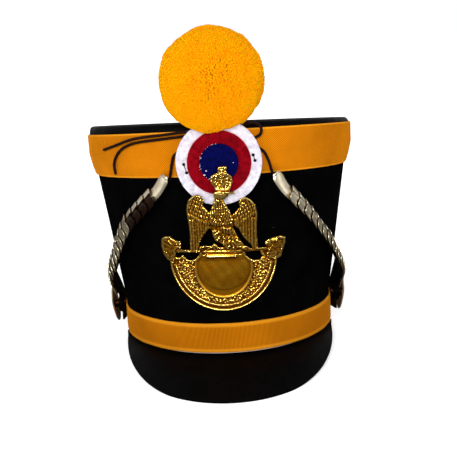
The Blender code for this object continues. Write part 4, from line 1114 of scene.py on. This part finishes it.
# A beast's head at each end of the crescent: a domed skull, a brow, open jaws and a mane. The
# two aren't alike.
form("beast_left", 3.0, 2.6, 0.5)
ridge([(-48.6, 11), (-45, 12.2), (-41, 10.8)], (1.0, 1.4, 0.8), (3.3, 3.6, 3.3), 0.8)
ridge([(-44.2, 9.2), (-41.4, 6.2)], (0.6, 0.9, 0.5), (4.1,), 0.6)
for z, start in ((9.2, -38.6), (7.2, -39.6), (4.4, -37.4)):
    ridge([(start, z - 0.2), (-34.0, z)], (0.6, 0.9, 0.8), (3.4, 3.6), 0.6)
groove([(-39.4, 5.6), (-34, 5.9)], 0.5, 0.8)
beads([(-34.2, 9.3), (-34.2, 7.3), (-34.4, 4.4), (-38.8, 2.6), (-46.4, 9.8)], 0.75, 4.0)
for start, middle, end in (
    ((-48.8, 7.4), (-48.4, 0.8), (-44.6, -5.6)), ((-46.8, 6.6), (-46.4, 0.6), (-43.2, -6.4)),
    ((-44.6, 4.8), (-44.4, 0), (-41.6, -5)), ((-42.2, 4.2), (-42.2, -0.6), (-40.4, -4)),
    ((-40, 3.4), (-40.4, 0.4), (-39.6, -2.4)),
):
    ridge([start, middle, end], (0.6, 1.1, 0.5), (3.2, 3.5, 3.1), 0.8)
beads([(-41.6, -9.2)], 0.9, 3.6)
groove([(-42.2, -7.6), (-41.4, -7.4)], 0.9, 1.2)
form("beast_right", 3.0, 2.6, 0.5)
ridge([(50.2, 8.6), (46.4, 9.8), (41.6, 8.8)], (1.2, 1.4, 0.9), (3.3, 3.6, 3.3), 0.8)
ridge([(41.8, 7.6), (44.4, 7.9)], (0.6, 0.8, 0.5), (4.1,), 0.6)
for z, end in ((7.4, 39), (5.4, 38.6)):
    ridge([(34.2, z), (end, z + 1.0)], (0.9, 1.0, 0.5), (3.8, 3.4), 0.7)
beads([(34.4, 7.6), (34.4, 5.4), (36.2, -3.0), (37.4, 0.2), (44.6, 6.6), (40.4, 3.6)], 0.8, 3.9)
for start, middle, end in (
    ((48.8, 5.6), (48.4, 0), (45.6, -5.6)), ((46.4, 5.2), (46, -0.4), (43.4, -6)),
    ((43.8, 4.8), (43.4, 0), (41.4, -4)), ((41.2, 4.2), (40.8, 0), (39.2, -3)),
    ((38.6, 3.6), (38.4, 0.6), (37.4, -2.6)),
):
    ridge([start, middle, end], (0.6, 1.1, 0.5), (3.2, 3.5, 3.1), 0.8)
beads([(41.6, -4.4), (41.9, -8.0), (35.4, -7.4), (36.4, -5.6)], 0.8, 3.5)
groove([(40.6, -6.4), (41.4, -6.4)], 0.9, 1.2)


def soften(grid, rounds):
    """The relief with its fine detail averaged out."""
    for _ in range(rounds):
        padded = np.pad(grid, 1, mode="edge")
        beside = padded[1:-1, 2:] + padded[1:-1, :-2]
        grid = (padded[2:, 1:-1] + padded[:-2, 1:-1] + beside + 2 * grid) / 6
    return grid


# The sheet is left a little rough where it is worked, and the whole relief falls off round its
# edges. Its crests are painted bright and its hollows dark, partly as wear and patina and partly
# as painted highlight and painted shade; the head and the crown are painted brighter still.
ROUGHNESS = {
    "wing_left": 0.35, "wing_right": 0.35, "body": 0.6, "foot": 0.4, "head": 0.4, "crown": 0.7,
    "beast_left": 0.6, "beast_right": 0.6, "bar": 0.2,
}
EDGE_FALL = 1.1
grains = soften(np.random.default_rng(5).normal(0, 1, X.shape), 3)
rough_cast = np.zeros(X.shape)
rough_cast[(np.hypot(X, Z - CRESCENT_MIDDLE) < 38.4) & (oval > 1.06) & (Z < -1)] = 0.8
for name, amount in ROUGHNESS.items():
    rough_cast[outline_away[name] < -0.3] = amount
relief += grains * rough_cast
fall = np.clip(-edge_away / EDGE_FALL, 0, 1)
relief[:] = BASE + (relief - BASE) * np.sqrt(1 - (1 - fall) ** 2)
relief[:] = soften(relief, 1)
wear_and_shade = 0.5 + (relief - soften(relief, 16)) / 0.55
for name in ("head", "crown"):
    wear_and_shade += 0.3 * (outline_away[name] < 0)
wear_and_shade = np.clip(wear_and_shade, 0, 1)
down_z, down_x = np.gradient(edge_away, GRID)
slope = np.maximum(np.hypot(down_x, down_z), 0.2)

PLATE_LEFT = 1.5
PLATE_HEIGHT = 87
PLATE_TILT = 1.2  # degrees that its top leans towards +X
PLATE_BEND_RADIUS = 95.0
# height, and distance of the plate's back in front of the crown's axis
PLATE_STAND = ((37, 109.5), (80, 114.2), (135, 127.8), (160, 132.8))


def on_plate(x, z, height):
    """A point of the plate on the hat. The plate is bent round the crown and tilted a little."""
    tilt = math.radians(-PLATE_TILT)
    across = x * math.cos(tilt) - z * math.sin(tilt) - PLATE_LEFT
    up = x * math.sin(tilt) + z * math.cos(tilt) + PLATE_HEIGHT
    bend = 1.2 * math.asin(across / (PLATE_BEND_RADIUS + 20))
    front = np.interp(up, *zip(*PLATE_STAND))
    away = -front + PLATE_BEND_RADIUS - (PLATE_BEND_RADIUS + height) * math.cos(bend)
    return Vector((across, away, up)) * 0.001


bm = bmesh.new()
bm.loops.layers.uv.new("UVMap")
crest = bm.verts.layers.float.new("crest")
own_spot = bm.verts.layers.int.new("spot")
columns, lines = len(plate_x) - 1, len(plate_z) - 1
bmesh.ops.create_grid(bm, x_segments=columns, y_segments=lines, size=1, calc_uvs=True)
for vert in bm.verts:
    line, column = round((vert.co.y + 1) / 2 * lines), round((vert.co.x + 1) / 2 * columns)
    vert[own_spot] = line * (columns + 1) + column
off_plate = [vert for vert in bm.verts if edge_away.flat[vert[own_spot]] > GRID / 2]
bmesh.ops.delete(bm, geom=off_plate, context="VERTS")
bmesh.ops.delete(bm, geom=[vert for vert in bm.verts if not vert.link_faces], context="VERTS")
# The grid's steps are drawn in to the true outline, and each point gets its height.
for vert in bm.verts:
    spot = vert[own_spot]
    x, z = X.flat[spot], Z.flat[spot]
    if vert.is_boundary:
        x -= edge_away.flat[spot] * down_x.flat[spot] / slope.flat[spot]
        z -= edge_away.flat[spot] * down_z.flat[spot] / slope.flat[spot]
    vert[crest] = wear_and_shade.flat[spot]
    vert.co = on_plate(x, z, relief.flat[spot])
bm.verts.layers.int.remove(own_spot)

brass_stamped, tree, shader = material("brass_stamped", Metallic=1.0, Roughness=0.25)
# Besides wear, this mark paints highlight on the crests and shade in the hollows.
worn = node(tree, "Attribute", attribute_name="crest").outputs["Fac"]
stains = cloudy(tree, 90.0, 5.0, 0.6)
toned = node(tree, "Math", {0: stains, 1: 0.35, 2: worn}, operation="MULTIPLY_ADD")
gilt = ramp(
    tree, toned.outputs[0], (0.42, (0.13, 0.038, 0.001)), (0.62, (0.50, 0.185, 0.003)),
    (0.80, (0.96, 0.48, 0.025)), (1.0, (1.0, 0.73, 0.18)),
)
paint(tree, shader, gilt)
polish = ramp(tree, toned.outputs[0], (0.4, 0.5), (0.72, 0.24), (1.0, 0.14))
tree.links.new(polish, shader.inputs["Roughness"])
bumped(tree, shader, cloudy(tree, 1100.0, 3.0), 0.00008)
bmesh.ops.recalc_face_normals(bm, faces=bm.faces)
if sum(face.normal.y for face in bm.faces) > 0:
    bmesh.ops.reverse_faces(bm, faces=bm.faces)
thicken(piece("eagle_plate", bm, brass_stamped, ["plate"]), 0.0008, -1, even=False)


# Cockade: three discs of cut wool cloth sewn over each other and to the band, white, red and
# blue. Black thread holds it at the sides, and the red has bled a little into the white.

COCKADE = (
    # name, radius, back and front in mm, colour, darker colour
    ("white", 34.0, 0.0, 2.4, (0.72, 0.69, 0.76), (0.46, 0.43, 0.51)),
    ("red", 25.2, 2.7, 4.0, (0.23, 0.0012, 0.006), (0.10, 0.0008, 0.003)),
    ("blue", 15.3, 4.3, 5.7, (0.0014, 0.0022, 0.062), (0.0007, 0.001, 0.023)),
)
COCKADE_CENTRE = (-0.0009, -0.1238, 0.160)
COCKADE_TILT = 4  # degrees that it leans out, as the crown's front does
cockade_turn = Matrix.Rotation(math.radians(90 + COCKADE_TILT), 4, "X")
cockade_place = Matrix.Translation(COCKADE_CENTRE) @ cockade_turn
cockade_mm = cockade_place @ Matrix.Diagonal((0.001, 0.001, 0.001, 1))
FACE_RINGS = 36

for order, (name, radius, back, front, color, shade) in enumerate(COCKADE):
    made, tree, shader = material(f"cloth_{name}", Roughness=1.0, Specular_IOR_Level=0.03)
    dye = ramp(tree, cloudy(tree, 260.0, 4.0, 0.65), (0.32, shade), (0.62, color))
    stain = node(tree, "Attribute", attribute_name="stain").outputs["Fac"]
    paint(tree, shader, blend(tree, stain, dye, (0.75, 0.16, 0.18)))
    bumped(tree, shader, cloudy(tree, 1500.0, 3.0), 0.0003)

    # each ring is radius and height, from the middle of the face to the middle of the back
    disc = [(radius * 0.96 * k / 34, front) for k in range(35)]
    disc += [(radius - 0.45, front - 0.15), (radius - 0.1, front - 0.45), (radius, (front + back) / 2)]
    disc += [(radius - 0.2, back + 0.1), (radius * 0.5, back), (0, back)]

    def disc_point(number, share):
        """The cut edge is a little wavy and frayed, and the cloth's face is uneven."""
        reach, height = disc[number]
        turn = share * math.tau
        cut = 0.012 * wobble(share, 1.3, 5.0 * order) + 0.006 * wobble(share, 9, 5.0 * order + 2)
        reach *= 1 + cut * min(1, reach / radius) ** 3 - 0.006
        spot = Vector((reach * math.cos(turn), reach * math.sin(turn), 0))
        if number < FACE_RINGS:
            height += 0.16 * noise.noise(spot * 0.3 + Vector((0, 0, order))) + 0.08 * noise.noise(spot * 1.1)
        return cockade_mm @ Vector((spot.x, spot.y, height))

    def bleed(number, turn):
        """Red on the white's face, strongest just past the red disc's edge."""
        wander = noise.noise(Vector((turn * 0.11, number * 0.2, 3)))
        on_white = name == "white" and number < FACE_RINGS
        return max(0, 0.75 - abs(disc[number][0] - 25.0) / (1.4 + wander)) * on_white

    bm = skin(len(disc), 144, disc_point, stain=bleed)
    piece(f"cloth_cockade_{name}", bm, made, [f"cockade_{name}"])


# Stitches: one of strong black linen thread through each side of the white disc, into the band.
# It lies on the cloth between two small knots.

thread_black, tree, shader = material("thread_black", Roughness=0.7, Specular_IOR_Level=0.1)
ply = cloudy(tree, 1800.0)
paint(tree, shader, ramp(tree, ply, (0.3, 0.001), (0.7, 0.006)))
bumped(tree, shader, ply, 0.0002)
THREAD_HEIGHT = 2.55
noise.seed_set(1)  # without it noise_vector differs from run to run
bm = bmesh.new()
for start, end in (((-27.5, 0), (-25.6, -6.7)), ((26.8, 4.7), (28, 0.2))):
    start, end = Vector((*start, THREAD_HEIGHT)), Vector((*end, THREAD_HEIGHT))
    for knot in (start, end):
        for vert in bmesh.ops.create_icosphere(bm, subdivisions=2, radius=1.25)["verts"]:
            vert.co.z *= 0.4
            vert.co += knot + 0.25 * noise.noise_vector(vert.co * 1.5)
    reach = end - start
    along = Matrix.Translation((start + end) / 2) @ reach.to_track_quat("Z", "Y").to_matrix().to_4x4()
    bmesh.ops.create_cone(
        bm, cap_ends=True, segments=8, radius1=0.34, radius2=0.34, depth=reach.length, matrix=along
    )
bmesh.ops.transform(bm, matrix=cockade_mm, verts=bm.verts)
piece("cockade_stitches", bm, thread_black)


# Lint: flecks of white wool off the cut cloth, which cling to the blue disc. Most are caught
# along its edge on the left, and a few larger ones lie on it.

lint_white, tree, shader = material("lint_white", Roughness=1.0, Specular_IOR_Level=0.03)
paint(tree, shader, ramp(tree, cloudy(tree, 2500.0), (0.3, 0.55), (0.7, 0.8)))
# each fleck is X, Y and radius in mm on the cockade
flecks = [(-10.2, -5.5, 0.8), (-11.8, -8.7, 0.9), (-7.9, -11.8, 0.7), (11, 0, 0.6)]
random.seed(17)
for _ in range(26):
    turn = math.radians(random.uniform(95, 275))
    reach = 15.2 + random.uniform(-0.7, 0.3)
    flecks.append((reach * math.cos(turn), reach * math.sin(turn), random.uniform(0.25, 0.5)))
BLUE_FACE = 5.75
bm = bmesh.new()
for x, y, radius in flecks:
    for vert in bmesh.ops.create_icosphere(bm, subdivisions=1, radius=radius)["verts"]:
        vert.co = Vector((vert.co.x + x, vert.co.y * 0.6 + y, vert.co.z * 0.3 + BLUE_FACE))
        vert.co += 0.2 * noise.noise_vector(vert.co)
bmesh.ops.transform(bm, matrix=cockade_mm, verts=bm.verts)
piece("cockade_lint", bm, lint_white)


# Pompom: a ball of yellow wool yarn, cut short and trimmed round, so that the yarn ends stand
# close together all over it. It sits over the front of the rim.

POMPOM_CENTRE = Vector((-0.0034, -0.121, 0.2234))
CORE_RADIUS = 0.0392
YARN_REACH = 0.0395
YARN_LENGTH = 0.0011
YARN_ENDS = 12500
# the yarn ends keep clear of the top out to this radius and up to this height ...
TOP_CLEAR_RADIUS = 0.1215
TOP_CLEAR_HEIGHT = 0.1895
# ... and of the cockade out to this radius and up to this far in front of its back
COCKADE_CLEAR_RADIUS = 0.0352
COCKADE_CLEAR_FRONT = 0.0050

wool_yellow, tree, shader = material(
    "wool_yellow", Roughness=1.0, Specular_IOR_Level=0.04, Subsurface_Weight=0.4,
    Subsurface_Scale=0.002, Sheen_Weight=0.5, Sheen_Tint=(1.0, 0.82, 0.0, 1),
)
tip = node(tree, "Attribute", attribute_name="crest").outputs["Fac"]
# The yarn is painted darker at the ends' feet, as painted shade, and brighter at their tips.
lit = ramp(tree, tip, (0.0, (0.80, 0.19, 0.0)), (0.55, (0.94, 0.23, 0.0)), (1.0, (1.0, 0.28, 0.0)))
warm = node(tree, "MapRange", {0: cloudy(tree, 50.0, 3.0), 1: 0.3, 2: 0.7, 3: 0.0, 4: 0.5})
paint(tree, shader, blend(tree, warm.outputs[0], lit, (1.0, 0.37, 0.0)))
bumped(tree, shader, cloudy(tree, 2200.0), 0.0002)

# The core under the yarn ends is a merged copy of the solid, drawn in, with its seat on the rim.
bm = bmesh.new()
bm.from_mesh(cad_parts["pompom"].data)
bmesh.ops.remove_doubles(bm, verts=bm.verts, dist=0.00001)
bmesh.ops.transform(bm, matrix=hat.inverted(), verts=bm.verts)
for vert in bm.verts:
    away = vert.co - POMPOM_CENTRE
    if away.length > CORE_RADIUS:
        vert.co = POMPOM_CENTRE + away * (CORE_RADIUS / away.length)
bm.verts.layers.float.new("crest")

# One cut end of yarn, open at its foot. It is painted darker at its foot and brighter at its tip,
# # as painted shade among the crowded ends.
end_mesh = bmesh.new()
bmesh.ops.create_cone(end_mesh, cap_ends=True, segments=5, radius1=0.95, radius2=0.95, depth=2.4)
end_foot = [face for face in end_mesh.faces if face.normal.z < -0.5]
bmesh.ops.delete(end_mesh, geom=end_foot, context="FACES_ONLY")
end_crest = end_mesh.verts.layers.float.new("crest")
for vert in end_mesh.verts:
    vert[end_crest] = min(1, max(0, 0.5 + vert.co.z * 0.4))
yarn_end = bpy.data.meshes.new("yarn_end")
end_mesh.to_mesh(yarn_end)
end_mesh.free()

# The ends are spread evenly over the ball in a spiral. Where they would stand in the top's rim or
# in the cockade, the wool is pressed flat, and none are made. The ball is dented at its top left.
golden_turn = math.pi * (3 - math.sqrt(5))
dent_toward = Vector((-0.55, -0.25, 0.80)).normalized()
on_cockade = cockade_place.inverted()
random.seed(41)
for number in range(YARN_ENDS):
    up = 1 - 2 * (number + 0.5) / YARN_ENDS
    turn = golden_turn * number + random.uniform(-0.02, 0.02)
    flat = math.sqrt(1 - up**2)
    toward = Vector((flat * math.cos(turn), flat * math.sin(turn), up + random.uniform(-0.008, 0.008)))
    toward.normalize()
    lumps = noise.noise(toward * 2.2 + Vector((3, 1, 8))) * 0.0011 + noise.noise(toward * 7) * 0.0006
    dent = max(0, toward.dot(dent_toward) - 0.9) * 0.012
    reach = YARN_REACH + lumps - dent + random.uniform(-0.0004, 0.0004)
    tip_spot = POMPOM_CENTRE + toward * (reach + 0.001)
    if tip_spot.xy.length < TOP_CLEAR_RADIUS and tip_spot.z < TOP_CLEAR_HEIGHT:
        continue
    beside = on_cockade @ tip_spot
    if beside.xy.length < COCKADE_CLEAR_RADIUS and beside.z < COCKADE_CLEAR_FRONT:
        continue
    lean_over = (toward + Vector([random.uniform(-0.16, 0.16) for _ in range(3)])).normalized()
    upright = lean_over.to_track_quat("Z", "Y").to_matrix().to_4x4()
    spin = Matrix.Rotation(random.uniform(0, 6), 4, "Z")
    fat = random.uniform(0.00078, 0.00105)
    foot = Matrix.Translation(POMPOM_CENTRE + toward * reach)
    end_copy = yarn_end.copy()
    end_copy.transform(foot @ upright @ spin @ Matrix.Diagonal((fat, fat, YARN_LENGTH, 1)))
    bm.from_mesh(end_copy)
    bpy.data.meshes.remove(end_copy)
bpy.data.meshes.remove(yarn_end)
piece("wool_pompom", bm, wool_yellow, ["pompom"])


# Pompom stem: a plain drawn brass wire, cut to length. It runs from inside the pompom down into
# the space behind the cockade, and keeps the solid's own mesh.

stem_brass, tree, shader = material("stem_brass", Metallic=1.0, Roughness=0.35)
dull_brass, bright_brass = (0.55, 0.42, 0.2), (0.8, 0.68, 0.4)
paint(tree, shader, ramp(tree, cloudy(tree, 500.0), (0.3, dull_brass), (0.7, bright_brass)))
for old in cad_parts["pompom_stem"].material_slots:
    old.material = stem_brass
